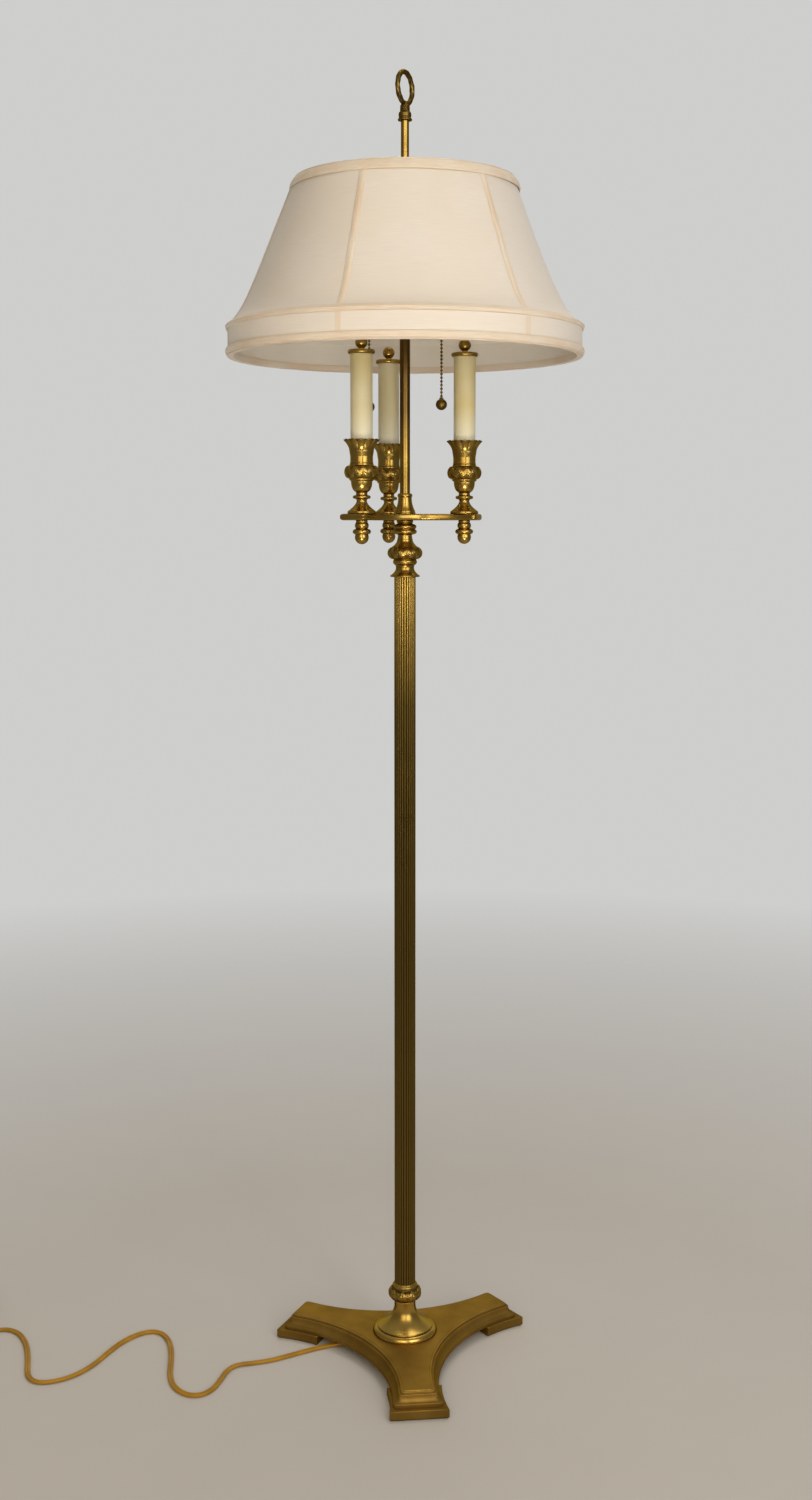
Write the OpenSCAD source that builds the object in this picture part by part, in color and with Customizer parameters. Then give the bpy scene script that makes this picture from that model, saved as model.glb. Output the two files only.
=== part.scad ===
// Three-armed brass floor lamp with three dummy candles, a two-light cluster and a fabric shade.
// Frame: origin on the floor under the column, +Z up, the viewer stands at -Y. Millimetres.

/* [Base] */
// Distance from the axis to the end of each arm
foot_reach = 160; // [140:1:180]
// Half width of an arm at its end
foot_half_w = 34.5; // [28:0.5:40]
// Distance from the axis to the hollow side between two arms, at the lower edge
bay_waist = 65; // [60:1:75]
// Height of the base above the floor
base_h = 28; // [26:0.5:36]
// Height of the plain foot block under each arm end
block_h = 11; // [9:0.5:12]
// Length of a foot block along its arm
block_len = 55; // [40:1:65]
// Width of the moulded edge, from the lower edge in to the flat top
edge_w = 15.8; // [12:0.2:18]
// Thickness of the flat top of the base
base_top_t = 5; // [4:0.5:7]
// Wall left inside the moulded edge
base_wall = 4; // [3:0.5:8]
// Thickness of the felt pads under the feet
pad_t = 1.2; // [0.8:0.1:2]
// Turn of the base about the axis, from one arm straight at the viewer
base_turn = 6; // [-60:1:60]

/* [Column] */
// Outer diameter of the reeded column
column_d = 25.4; // [22:0.2:30]
// Length of the column tube
column_h = 864; // [700:1:1000]
// Number of reeds round the column
reeds = 24; // [20:1:28]
// Wall of the column tube under the reeds
column_wall = 2; // [1.2:0.1:2.5]
// Outer diameter of the threaded pipe that holds the stack together
pipe_d = 9.8; // [9:0.1:11]
// Wall of the threaded pipe
pipe_wall = 1.7; // [1.2:0.1:1.9]
// Height of the bell between base and column
bell_h = 40; // [34:0.5:46]
// Radius of the bell at its rim
bell_r = 39.3; // [35:0.1:43]
// Height of the leaf knop under the column
lower_knop_h = 22; // [19:0.5:26]
// Largest radius of the leaf knop under the column
lower_knop_r = 20.2; // [18:0.1:23]
// Height of the cap on the column
cap_h = 11.6; // [9:0.2:15]
// Radius of the cap's rim
cap_r = 17.5; // [15.5:0.1:20]
// Height of the wreath knop above the cap
upper_knop_h = 32.4; // [28:0.2:38]
// Largest radius of the wreath knop
upper_knop_r = 20.5; // [18:0.1:24]
// Height of the spool under the arm plate
spool_h = 22.4; // [18:0.2:28]
// Radius of the ring on the spool
spool_r = 13.2; // [12:0.1:15]

/* [Arm plate and candles] */
// Thickness of the arm plate
plate_t = 7.5; // [5:0.5:10]
// Distance from the axis to the end of each plate arm
plate_reach = 89; // [86:1:100]
// Half width of a plate arm at its end
plate_half_w = 22; // [20:0.5:28]
// Distance from the axis to the hollow side of the plate
plate_waist = 27; // [22:0.5:34]
// Distance from the axis to each candle
candle_reach = 71.2; // [66:0.2:72]
// Turn of the candles about the axis, from +X
candle_turn = -14; // [-60:1:60]
// Height of a candle's turned foot
candle_base_h = 24; // [20:0.5:30]
// Radius of a candle's turned foot
candle_base_r = 16.4; // [14:0.1:17]
// Height of the bowl with its wreath
candle_urn_h = 33; // [28:0.5:40]
// Radius of the wreath round the bowl
candle_wreath_r = 19.8; // [18:0.1:22]
// Height of the flared cup
candle_cup_h = 27.2; // [24:0.2:34]
// Radius of the cup's rim
candle_cup_r = 20.3; // [18.5:0.1:23]
// Outer diameter of the candle sleeve
sleeve_d = 25.4; // [24:0.1:26]
// Length of the candle sleeve
sleeve_h = 110; // [80:0.2:140]
// Wall of the candle sleeve
sleeve_wall = 1.2; // [0.8:0.1:2]
// Radius of the disc that closes a candle sleeve
candle_cap_r = 15.6; // [14:0.1:17]
// Radius of the ball on that disc
candle_ball_r = 7.1; // [5:0.1:8.5]
// Diameter of the threaded rod inside a candle
rod_d = 4; // [3:0.1:5]

/* [Stem and sockets] */
// Outer diameter of the stem tube
stem_d = 12; // [11.8:0.1:13]
// Length of the stem tube, from the plate to the cluster
stem_h = 222; // [200:1:260]
// Height of the turned collar round the foot of the stem
stem_collar_h = 24; // [18:0.5:30]
// Radius of that collar at its foot
stem_collar_r = 12.6; // [11.5:0.1:15]
// Height of the cluster body
cluster_h = 28; // [26:0.5:34]
// Radius of the cluster body
cluster_r = 13.5; // [12.5:0.1:16]
// Tilt of each socket from upright
socket_tilt = 35; // [30:1:40]
// Turn of the socket pair about the axis, from +X
socket_turn = -25; // [-60:1:60]
// Outer diameter of a socket shell
socket_d = 34; // [33:0.2:36]
// Length of a socket shell
socket_h = 45; // [42:0.5:50]
// Travel of a pull chain
chain_travel = 8; // [6:0.5:8]
// Length of the switch lever, from its pin to the chain
lever_len = 15; // [14:0.5:17]
// Diameter of a chain bead
bead_d = 3.2; // [2.4:0.1:3.6]
// Diameter of the ball at the end of a pull chain
pull_ball_d = 13; // [10:0.5:16]
// Length of a pull chain from its lever to the middle of its ball
chain_len = 137; // [100:1:160]
// Diameter of the bulb glass
bulb_d = 48; // [40:1:52]

/* [Riser and finial] */
// Diameter of the riser rod through the shade
riser_d = 9.4; // [8.6:0.1:10.4]
// Length of the riser rod that shows between cluster and finial
riser_h = 200; // [196:1:260]
// Outer diameter of the ring finial
ring_d = 41; // [36:0.5:48]
// Thickness of the ring's bar
ring_bar_d = 6.2; // [4.5:0.1:7]
// Turn of the ring's plane about the axis, from +X
ring_turn = 62; // [-90:1:90]

/* [Shade] */
// Height of the shade
shade_h = 199; // [180:1:230]
// Height of the shade's top edge above the cluster body
shade_rise = 130.9; // [125:0.1:150]
// Outer radius of the fabric at the top edge
shade_top_r = 127.5; // [120:0.5:150]
// Outer radius of the fabric at the lower band
shade_band_r = 205.5; // [195:0.5:225]
// Height of the lower band
band_h = 33; // [24:0.5:42]
// How far the fabric flares out just above the band
shade_flare = 11; // [4:0.5:16]
// Length over which the flare dies away
flare_len = 14; // [10:0.5:24]
// Thickness of the fabric
fabric_t = 0.9; // [0.5:0.1:1.1]
// Diameter of the frame wire
wire_d = 3.2; // [2.4:0.1:3.6]
// Number of panels
panels = 6; // [4:1:8]
// Turn of the shade about the axis, to the middle of a panel from +X
shade_turn = 280; // [0:1:360]
// How far the trim stands out from the fabric
trim_t = 2.6; // [1.5:0.1:4]
// Height of the braid at the top edge
top_trim_h = 11; // [8:0.5:14]
// Height of each braid on the lower band
band_trim_h = 8.5; // [6:0.5:11]
// Drop of the shade's hub below its top edge
hub_drop = 7; // [6:0.5:12]

/* [Cord] */
// Diameter of the lamp cord
cord_d = 6.8; // [6.2:0.1:7]
// Loops in each layer of the put-away coil
coil_loops = 1.75; // [1.25:0.5:1.75]
// Layers of the put-away coil
coil_layers = 4; // [2:2:4]
// Outer radius of the coil at the middle of its cord
coil_r = 45; // [43:0.5:48]
// Gap between neighbouring loops
coil_gap = 0.6; // [0.5:0.1:1]

/* [Hidden] */
$fn = 64;

// Clearance between mating round faces, and between pieces that run on each other
fit_gap = 0.3;
run_gap = 0.05;
// Overlap that lets a cut pass clean through a face
eps = 1;
brass = [0.62, 0.48, 0.20];
dark_brass = [0.45, 0.33, 0.12];
steel = [0.70, 0.70, 0.68];
cream = [0.90, 0.84, 0.72];
ivory = [0.86, 0.80, 0.58];
felt = [0.25, 0.30, 0.22];
gold_cord = [0.72, 0.50, 0.14];
black = [0.12, 0.12, 0.12];

// Heights of the stack
z_bell = base_h;
z_lower_knop = z_bell + bell_h;
z_column = z_lower_knop + lower_knop_h;
z_cap = z_column + column_h;
z_upper_knop = z_cap + cap_h;
z_spool = z_upper_knop + upper_knop_h;
z_plate = z_spool + spool_h;
z_plate_top = z_plate + plate_t;
z_cluster = z_plate_top + stem_h;
z_riser = z_cluster + cluster_h;
z_finial = z_riser + riser_h;
// Heights of a candle, from the plate up
z_urn = z_plate_top + candle_base_h;
z_cup = z_urn + candle_urn_h;
cup_floor = candle_cup_h * 0.5;
z_sleeve = z_cup + cup_floor;
z_candle_cap = z_sleeve + sleeve_h;
// Bores
pipe_r = pipe_d / 2;
pipe_bore = pipe_r + fit_gap;
rod_bore = rod_d / 2 + fit_gap;
riser_r = riser_d / 2;

function arc(c, r, from, to, steps) =
    [for (i = [0 : steps]) let (a = from + (to - from) * i / steps) [c[0] + r * cos(a), c[1] + r * sin(a)]];
// An oval arc, for swelling rings
function oval(c, rx, ry, from, to, steps) =
    [for (i = [0 : steps]) let (a = from + (to - from) * i / steps) [c[0] + rx * cos(a), c[1] + ry * sin(a)]];
// A hollow flare from radius a at height za to radius b at height zb
function flare(a, za, b, zb, power, steps) =
    [for (i = [0 : steps]) let (t = i / steps) [b + (a - b) * pow(1 - t, power), za + (zb - za) * t]];

// A turned piece: profile from the foot up, closed to a bore
module turned(profile, bore) {
    low = profile[0][1];
    high = profile[len(profile) - 1][1];
    rotate_extrude() polygon(concat([[bore, low]], profile, [[bore, high]]));
}

// The star outline shared by base and arm plate: three arms with hollow sides
// A hollow side is part of a circle through two arm corners and the waist point between them
function star_bay_radius(reach, half_w, waist) =
    let (along = reach * cos(60) + half_w * sin(60), across = reach * sin(60) - half_w * cos(60),
         rise = along - waist) (across * across + rise * rise) / (2 * rise);
module star(reach, half_w, waist, inset) {
    bay_r = star_bay_radius(reach, half_w, waist);
    corners = [for (k = [0 : 2], side = [-1, 1])
        let (u = [cos(120 * k), sin(120 * k)], v = [-sin(120 * k), cos(120 * k)])
        (reach - inset) * u + side * (half_w + eps) * v];
    difference() {
        polygon(corners);
        for (k = [0 : 2]) rotate(120 * k + 60) translate([waist + bay_r, 0]) circle(bay_r + inset, $fn = 128);
    }
}

// Base

base_bay_r = star_bay_radius(foot_reach, foot_half_w, bay_waist);
arm_angle = -90 + base_turn;
block_inner = foot_reach - block_len;
base_pocket = base_h - base_top_t;
// The foot blocks stand out from the moulded edge by a plain ledge, just above the arch
block_ledge = 0.6;
block_step = 0.4 * edge_w;
// Moulded edge above the arch: a plain riser, a hollow cove in fine steps, a narrow step and the flat top,
// as [distance in from the foot block's face, height that the layer reaches]
edge_rise = base_h - block_h;
cove_low = block_h + 0.31 * edge_rise;
cove_high = block_h + 0.82 * edge_rise;
cove_w = 0.34 * edge_w;
step_in = 0.12 * edge_w;
cove_steps = 8;
edge_layers = concat([[block_step, cove_low]],
    [for (i = [1 : cove_steps]) let (a = 90 * i / cove_steps)
        [block_step + cove_w * sin(a - 45 / cove_steps), cove_high - (cove_high - cove_low) * cos(a)]],
    [[block_step + cove_w + step_in, base_h - 0.4 * step_in], [edge_w, base_h]]);
layer_lap = 0.5;

module upper_casting() {
    rotate(arm_angle) for (i = [0 : len(edge_layers) - 1]) {
        low = i == 0 ? block_h : edge_layers[i - 1][1] - layer_lap;
        translate([0, 0, low]) linear_extrude(edge_layers[i][1] - low)
            star(foot_reach, foot_half_w, bay_waist, edge_layers[i][0]);
    }
}
// The middle of the base, bounded by a straight line across each arm
module middle(reach) {
    rotate(arm_angle) polygon([for (k = [0 : 2]) 2 * reach * [cos(120 * k + 60), sin(120 * k + 60)]]);
}
module foot_blocks(inset, height) {
    linear_extrude(height) difference() {
        rotate(arm_angle) star(foot_reach, foot_half_w, bay_waist, inset);
        middle(block_inner + inset);
    }
}
module base_casting() {
    color(brass) difference() {
        union() {
            upper_casting();
            translate([0, 0, pad_t]) foot_blocks(0, block_h + block_ledge - pad_t);
        }
        translate([0, 0, -eps]) linear_extrude(base_pocket + eps) intersection() {
            rotate(arm_angle) star(foot_reach, foot_half_w, bay_waist, edge_w + base_wall);
            middle(block_inner - base_wall);
        }
        cylinder(r = pipe_bore, h = base_h + eps);
    }
}
pad_inset = 1.5;
module foot_pads() {
    color(felt) foot_blocks(pad_inset, pad_t);
}
washer_r = 20;
washer_t = 2;
nut_r = 9.5;
nut_h = 6;
module base_nut() {
    color(steel) translate([0, 0, base_pocket - washer_t - nut_h]) difference() {
        union() {
            cylinder(r = nut_r, h = nut_h + eps / 2, $fn = 6);
            translate([0, 0, nut_h]) cylinder(r = washer_r, h = washer_t);
        }
        translate([0, 0, -eps]) cylinder(r = pipe_bore, h = nut_h + washer_t + 2 * eps);
    }
}

// Column stack

neck_r = column_d / 2 + 0.2;
bell_bead = 8;
module bell_collar() {
    profile = concat(
        oval([bell_r - 4, bell_bead / 2], 4, bell_bead / 2, -90, 80, 8),
        [[bell_r - 5.2, bell_bead - 0.5]],
        flare(bell_r - 5.6, bell_bead + 0.4, neck_r, bell_h - 1.5, 3.1, 16),
        [[neck_r, bell_h]]);
    color(brass) translate([0, 0, z_bell]) turned(profile, pipe_bore);
}
// The leaf knop is a round cushion on a narrow foot and carries a plain bead
module lower_knop() {
    middle_z = lower_knop_h * 0.38;
    bead = lower_knop_h * 0.82;
    swell = lower_knop_r - neck_r - 0.4;
    profile = concat(
        [[neck_r + 0.5, 0], [neck_r + 0.5, lower_knop_h * 0.04]],
        oval([neck_r + 0.4, middle_z], swell, lower_knop_h * 0.335, -80, 68, 14),
        oval([neck_r - 0.2, bead], 2.5, lower_knop_h * 0.1, -65, 65, 6),
        [[neck_r + 0.2, lower_knop_h * 0.94], [neck_r + 0.2, lower_knop_h]]);
    color(brass) translate([0, 0, z_lower_knop]) turned(profile, pipe_bore);
}
column_r = column_d / 2;
// Reeds stand side by side, each as wide as its share of the column
reed_r = column_r * sin(180 / reeds) / (1 + sin(180 / reeds)) * 1.06;
column_core = column_r - 1.25 * reed_r;
module fluted_column() {
    color(brass) translate([0, 0, z_column]) linear_extrude(column_h) difference() {
        union() {
            circle(column_core);
            for (i = [0 : reeds - 1]) rotate(360 * i / reeds) translate([column_r - reed_r, 0]) circle(reed_r, $fn = 24);
        }
        circle(column_core - column_wall);
    }
}
cap_top_r = 10.8;
module column_cap() {
    lip = 1.8;
    profile = concat([[cap_r - 0.6, 0], [cap_r, 0.6], [cap_r, lip]],
        flare(cap_r - 0.8, lip + 0.3, cap_top_r, cap_h - 1, 2, 8), [[cap_top_r, cap_h]]);
    color(brass) translate([0, 0, z_cap]) turned(profile, pipe_bore);
}
spool_foot_r = 9.2;
module upper_knop() {
    ring = upper_knop_h * 0.25;
    middle_z = upper_knop_h * 0.51;
    half = upper_knop_h * 0.23;
    profile = concat(
        [[cap_top_r, 0], [cap_top_r + 0.4, upper_knop_h * 0.06]],
        oval([cap_top_r - 0.2, ring - 2], 3.6, upper_knop_h * 0.11, -50, 50, 6),
        oval([upper_knop_r - 8, middle_z], 8, half, -72, 72, 12),
        [[14.6, middle_z + half + 0.4]],
        flare(13.8, middle_z + half + 0.7, spool_foot_r, upper_knop_h - 0.6, 1.7, 8),
        [[spool_foot_r, upper_knop_h]]);
    color(brass) translate([0, 0, z_upper_knop]) turned(profile, pipe_bore);
}
module neck_spool() {
    ring = spool_h * 0.54;
    half = spool_h * 0.2;
    profile = concat([[spool_foot_r, 0]],
        flare(spool_foot_r - 0.3, 0.6, 8.3, ring - half - 1.2, 1.8, 4),
        oval([spool_r - 4.2, ring], 4.2, half, -80, 80, 12),
        [[8.5, ring + half + 0.6], [8.3, spool_h * 0.84], [9.6, spool_h - 2.2], [9.8, spool_h - 1.2], [9.6, spool_h]]);
    color(brass) translate([0, 0, z_spool]) turned(profile, pipe_bore);
}
// The plate's edge is rounded by two stepped outlines
plate_round = 1.4;
module arm_plate() {
    color(brass) translate([0, 0, z_plate]) difference() {
        rotate(candle_turn) union() {
            linear_extrude(plate_t) star(plate_reach, plate_half_w, plate_waist, plate_round);
            translate([0, 0, plate_round]) linear_extrude(plate_t - 2 * plate_round)
                star(plate_reach, plate_half_w, plate_waist, 0);
        }
        translate([0, 0, -eps]) cylinder(r = pipe_bore, h = plate_t + 2 * eps);
        candles() translate([0, 0, -eps]) cylinder(r = rod_bore, h = plate_t + 2 * eps);
    }
}
pipe_tail = 1;
z_pipe = base_pocket - washer_t - nut_h - pipe_tail;
cluster_grip = 12;
module core_pipe() {
    color(steel) translate([0, 0, z_pipe]) difference() {
        cylinder(r = pipe_r, h = z_cluster + cluster_grip - z_pipe);
        translate([0, 0, -eps]) cylinder(r = pipe_r - pipe_wall, h = z_cluster + cluster_grip - z_pipe + 2 * eps);
    }
}
stem_r = stem_d / 2;
module stem_collar() {
    ring_r = stem_r + 2.8;
    profile = concat([[stem_collar_r, 0], [stem_collar_r, 1.6], [stem_collar_r - 0.7, 2], [stem_collar_r - 0.7, 3.4]],
        flare(stem_collar_r - 1, 3.8, stem_r + 2, stem_collar_h * 0.78, 2, 8),
        oval([ring_r - 1.4, stem_collar_h * 0.89], 1.4, stem_collar_h * 0.09, -70, 70, 6),
        [[ring_r - 1, stem_collar_h]]);
    color(brass) translate([0, 0, z_plate_top]) turned(profile, stem_r + fit_gap);
}
module stem_tube() {
    color(brass) translate([0, 0, z_plate_top]) difference() {
        cylinder(r = stem_r, h = stem_h);
        translate([0, 0, -eps]) cylinder(r = pipe_bore, h = stem_h + 2 * eps);
    }
}

// Candles

module candle(k) { rotate(candle_turn + 120 * (k - 1)) translate([candle_reach, 0, 0]) children(); }
module candles() { for (k = [1 : 3]) candle(k) children(); }

urn_foot_r = 6.6;
module candle_base(k) {
    ring = candle_base_h * 0.79;
    profile = concat([[candle_base_r - 0.4, 0], [candle_base_r, 0.5], [candle_base_r, 2.6], [candle_base_r - 0.9, 3.2]],
        flare(candle_base_r - 1, 3.4, 5.8, candle_base_h * 0.62, 1.7, 8),
        [[6.6, ring - 2.2]], oval([8.6, ring], 1.7, candle_base_h * 0.08, -80, 80, 6),
        [[urn_foot_r, ring + 2.4], [urn_foot_r, candle_base_h]]);
    color(brass) candle(k) translate([0, 0, z_plate_top]) turned(profile, rod_bore);
}
cup_foot_r = 13;
module candle_urn(k) {
    wreath = candle_urn_h * 0.71;
    half = candle_urn_h * 0.23;
    bowl_r = 12.3;
    profile = concat([[urn_foot_r, 0]], oval([urn_foot_r, candle_urn_h * 0.4], bowl_r - urn_foot_r, candle_urn_h * 0.37, -80, 0, 7),
        [[14.2, candle_urn_h * 0.43], [14.2, candle_urn_h * 0.48]],
        oval([candle_wreath_r - 6, wreath], 6, half, -75, 75, 10),
        [[13.8, candle_urn_h * 0.94], [13.6, candle_urn_h]]);
    color(brass) candle(k) translate([0, 0, z_urn]) turned(profile, rod_bore);
}
sleeve_r = sleeve_d / 2;
cup_wall = 0.9;
module candle_cup(k) {
    seat = sleeve_r + fit_gap;
    lift = candle_cup_h - cup_floor;
    outer = concat([[cup_foot_r, 0], [cup_foot_r, candle_cup_h * 0.3]],
        [for (i = [0 : 7]) let (t = i / 7)
            [seat + cup_wall + (candle_cup_r - seat - cup_wall) * pow(t, 1.9), cup_floor + lift * t]]);
    inner = [for (i = [7 : -1 : 0]) let (t = i / 7) [seat + (candle_cup_r - cup_wall - seat) * pow(t, 1.9), cup_floor + lift * t]];
    color(brass) candle(k) translate([0, 0, z_cup]) rotate_extrude()
        polygon(concat([[rod_bore, 0]], outer, inner, [[rod_bore, cup_floor]]));
}
module candle_sleeve(k) {
    color(ivory) candle(k) translate([0, 0, z_sleeve]) difference() {
        cylinder(r = sleeve_r, h = sleeve_h);
        translate([0, 0, -eps]) cylinder(r = sleeve_r - sleeve_wall, h = sleeve_h + 2 * eps);
    }
}
spigot_h = 6;
module candle_cap(k) {
    disc_t = 5;
    neck = 3.2;
    ball_z = disc_t + 0.8 + candle_ball_r;
    dip = asin((candle_ball_r - 0.4) / candle_ball_r);
    profile = concat([[sleeve_r - sleeve_wall - fit_gap, -spigot_h], [sleeve_r - sleeve_wall - fit_gap, 0], [candle_cap_r - 0.6, 0]],
        oval([candle_cap_r - 1.6, disc_t * 0.46], 1.6, disc_t * 0.46, -70, 80, 7),
        [[neck + 2, disc_t], [neck, disc_t + 0.3]],
        arc([0, ball_z], candle_ball_r, -62, 90, 12));
    color(brass) candle(k) translate([0, 0, z_candle_cap])
        rotate_extrude() polygon(concat([[0, -spigot_h]], profile));
}
rod_up = 6;
nut_neck_r = 6.8;
nut_ring_r = 10.5;
nut_ball_r = 8;
acorn_h = 27.4;
acorn_bore = 16;
module candle_rods() {
    low = z_plate - acorn_bore + fit_gap;
    color(steel) candles() translate([0, 0, low]) cylinder(r = rod_d / 2, h = z_cup + cup_floor + rod_up - low, $fn = 32);
}
module acorn_nuts() {
    ball_z = acorn_h - nut_ball_r;
    profile = concat([[nut_neck_r, 0], [nut_neck_r, 2]],
        oval([nut_neck_r - 0.6, 6], 1.8, 3.4, -80, 80, 8),
        oval([nut_ring_r - 2.4, 13], 2.4, 2.7, -80, 80, 8),
        arc([0, ball_z], nut_ball_r, -24, 90, 12));
    color(brass) candles() translate([0, 0, z_plate]) rotate([180, 0, 0]) rotate_extrude()
        polygon(concat([[0, acorn_bore], [rod_bore, acorn_bore], [rod_bore, 0]], profile));
}

// Sockets, measured along each socket's own axis from the lamp's axis

port_z = z_cluster + 9;
boss_r = 6.5;
socket_r = socket_d / 2;
socket_lip_r = socket_r + fit_gap + 0.7;
// Each boss is long enough for the lip of its socket cap to pass the riser
cap_len = 15;
lip_h = 5;
lip_clear = 1.2;
boss_len = (riser_r + lip_clear + socket_lip_r * cos(socket_tilt)) / sin(socket_tilt) - cap_len + lip_h;
shell_t = 0.8;
shell_start = boss_len + cap_len - 3;
shell_end = shell_start + socket_h;
// The insulating body starts where the cone of the cap is wide enough for it
body_start = boss_len + 8;
body_end = shell_start + 16;
body_r = socket_r - shell_t - 0.6;
screw_r = 13.2;
screw_t = 0.6;
contact_t = 2;
module socket(k) {
    translate([0, 0, port_z]) rotate([0, 0, socket_turn + 180 * (k - 1)]) rotate([0, socket_tilt, 0]) children();
}
// The switch lever turns in the upright plane through the socket's axis
pin_along = body_start + 8.4;
pin_off = body_r - 6.1;
lever_pin = [pin_along * sin(socket_tilt) + pin_off * cos(socket_tilt),
    port_z + pin_along * cos(socket_tilt) - pin_off * sin(socket_tilt)];
lever_swing = 2 * asin(chain_travel / (2 * lever_len));
lever_t = 2;
pin_r = 1.2;
pin_len = 9;
slot_w = 4;
chain_x = lever_pin[0] + lever_len * cos(lever_swing / 2);
chain_gap = 0.4;
z_chain = lever_pin[1] + lever_len * sin(lever_swing / 2) - lever_t / 2 - chain_gap;
module at_pair(k) { rotate(socket_turn + 180 * (k - 1)) children(); }
module lever_slot(k) {
    reach = lever_len + bead_d;
    at_pair(k) translate([lever_pin[0] - 4, -slot_w / 2, lever_pin[1] - reach * 0.6])
        cube([reach + 8, slot_w, reach * 1.2]);
}
module cluster_body() {
    color(brass) difference() {
        union() {
            translate([0, 0, z_cluster]) rotate_extrude() polygon(concat([[0, 0], [stem_r + 2, 0], [stem_r + 2, 2]],
                oval([cluster_r - 5, cluster_h * 0.42], 5, cluster_h * 0.3, -80, 80, 10),
                [[riser_r + 2.4, cluster_h * 0.8], [riser_r + 2.4, cluster_h], [0, cluster_h]]));
            for (k = [1, 2]) socket(k) cylinder(r = boss_r, h = boss_len);
        }
        translate([0, 0, z_cluster - eps]) cylinder(r = pipe_bore, h = cluster_grip + eps + fit_gap);
        translate([0, 0, z_riser - riser_grip - fit_gap]) cylinder(r = riser_r + fit_gap, h = riser_grip + fit_gap + eps);
    }
}
riser_grip = 9;
module socket_cap(k) {
    lip = boss_len + cap_len;
    outer = [[boss_r + 0.8, boss_len], [socket_r * 0.66, boss_len + 1.2], [socket_r * 0.9, boss_len + 5],
        [socket_lip_r, lip - lip_h], [socket_lip_r, lip]];
    inner = [[socket_r + fit_gap, lip], [socket_r + fit_gap, shell_start - 1.6], [socket_r * 0.9 - 0.3, boss_len + 6.2],
        [socket_r * 0.62, boss_len + 2.6]];
    color(brass) difference() {
        socket(k) rotate_extrude() polygon(concat([[rod_bore, boss_len]], outer, inner, [[rod_bore, boss_len + 2.2]]));
        lever_slot(k);
    }
}
module socket_shell(k) {
    color(brass) difference() {
        socket(k) translate([0, 0, shell_start]) difference() {
            cylinder(r = socket_r, h = socket_h);
            translate([0, 0, -eps]) cylinder(r = socket_r - shell_t, h = socket_h + 2 * eps);
        }
        lever_slot(k);
    }
}
module socket_body(k) {
    color(black) difference() {
        socket(k) translate([0, 0, body_start]) cylinder(r = body_r, h = body_end - body_start);
        lever_slot(k);
        at_pair(k) translate([lever_pin[0], (pin_len + 2 * fit_gap) / 2, lever_pin[1]]) rotate([90, 0, 0])
            cylinder(r = pin_r + run_gap, h = pin_len + 2 * fit_gap, $fn = 24);
    }
}
module screw_shells() {
    color(brass) for (k = [1, 2]) socket(k) translate([0, 0, body_end]) difference() {
        cylinder(r = screw_r + screw_t, h = shell_end - body_end - 2);
        translate([0, 0, -eps]) cylinder(r = screw_r, h = shell_end - body_end + 2 * eps);
    }
}
module center_contacts() {
    color(brass) for (k = [1, 2]) socket(k) translate([0, 0, body_end]) cylinder(r = 4, h = contact_t, $fn = 32);
}
module switch_lever(k) {
    color(steel) at_pair(k) translate([lever_pin[0], 0, lever_pin[1]]) rotate([0, -lever_swing / 2, 0]) {
        translate([0, lever_t / 2, 0]) rotate([90, 0, 0]) linear_extrude(lever_t)
            union() {
                translate([0, -lever_t / 2]) square([lever_len + 0.6, lever_t]);
                circle(r = 2.2, $fn = 24);
            }
        translate([0, pin_len / 2, 0]) rotate([90, 0, 0]) cylinder(r = pin_r, h = pin_len, $fn = 24);
    }
}
bead_pitch = 1.31 * bead_d;
link_r = 0.2 * bead_d;
module pull_chain(k) {
    run = chain_len - pull_ball_d / 2;
    beads = floor(run / bead_pitch);
    color(dark_brass) at_pair(k) translate([chain_x, 0, z_chain]) {
        for (i = [0 : beads - 1]) translate([0, 0, -bead_d / 2 - i * bead_pitch]) sphere(d = bead_d, $fn = 24);
        translate([0, 0, -chain_len]) cylinder(r = link_r, h = chain_len - bead_d / 2, $fn = 16);
        translate([0, 0, -chain_len]) sphere(d = pull_ball_d, $fn = 32);
    }
}
bulb_neck = 14;
bulb_len = 74;
bulb_base_r = screw_r - 0.6;
bulb_wall = 1.2;
// Half a bulb's wall: neck and globe, drawn at a depth below the glass's face
function bulb_side(depth, seat) =
    let (r = bulb_d / 2, top = seat + bulb_len, shoulder = 28)
    concat([for (i = [0 : 5]) let (t = i / 5, s = 3 * t * t - 2 * t * t * t)
        [bulb_neck - depth + (r * cos(shoulder) - bulb_neck) * s, seat + (bulb_len - r * (1 + sin(shoulder))) * t]],
        arc([0, top - r], r - depth, -shoulder + 2, 90, 12));
module bulb(k) {
    foot = body_end + contact_t + fit_gap;
    seat = shell_end + 1;
    base = [[2.6, foot], [4, foot], [4.6, foot + 1.6], [bulb_base_r - 1.5, foot + 3.6], [bulb_base_r, foot + 5], [bulb_base_r, seat]];
    inside = bulb_side(bulb_wall, seat);
    color("white") socket(k) rotate_extrude() polygon(concat(base, bulb_side(0, seat),
        [for (i = [len(inside) - 1 : -1 : 0]) inside[i]],
        [[bulb_base_r - bulb_wall, seat], [bulb_base_r - bulb_wall, foot + 5.4], [2.6, foot + 4]]));
}

// Riser, shade nut and finial

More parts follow.
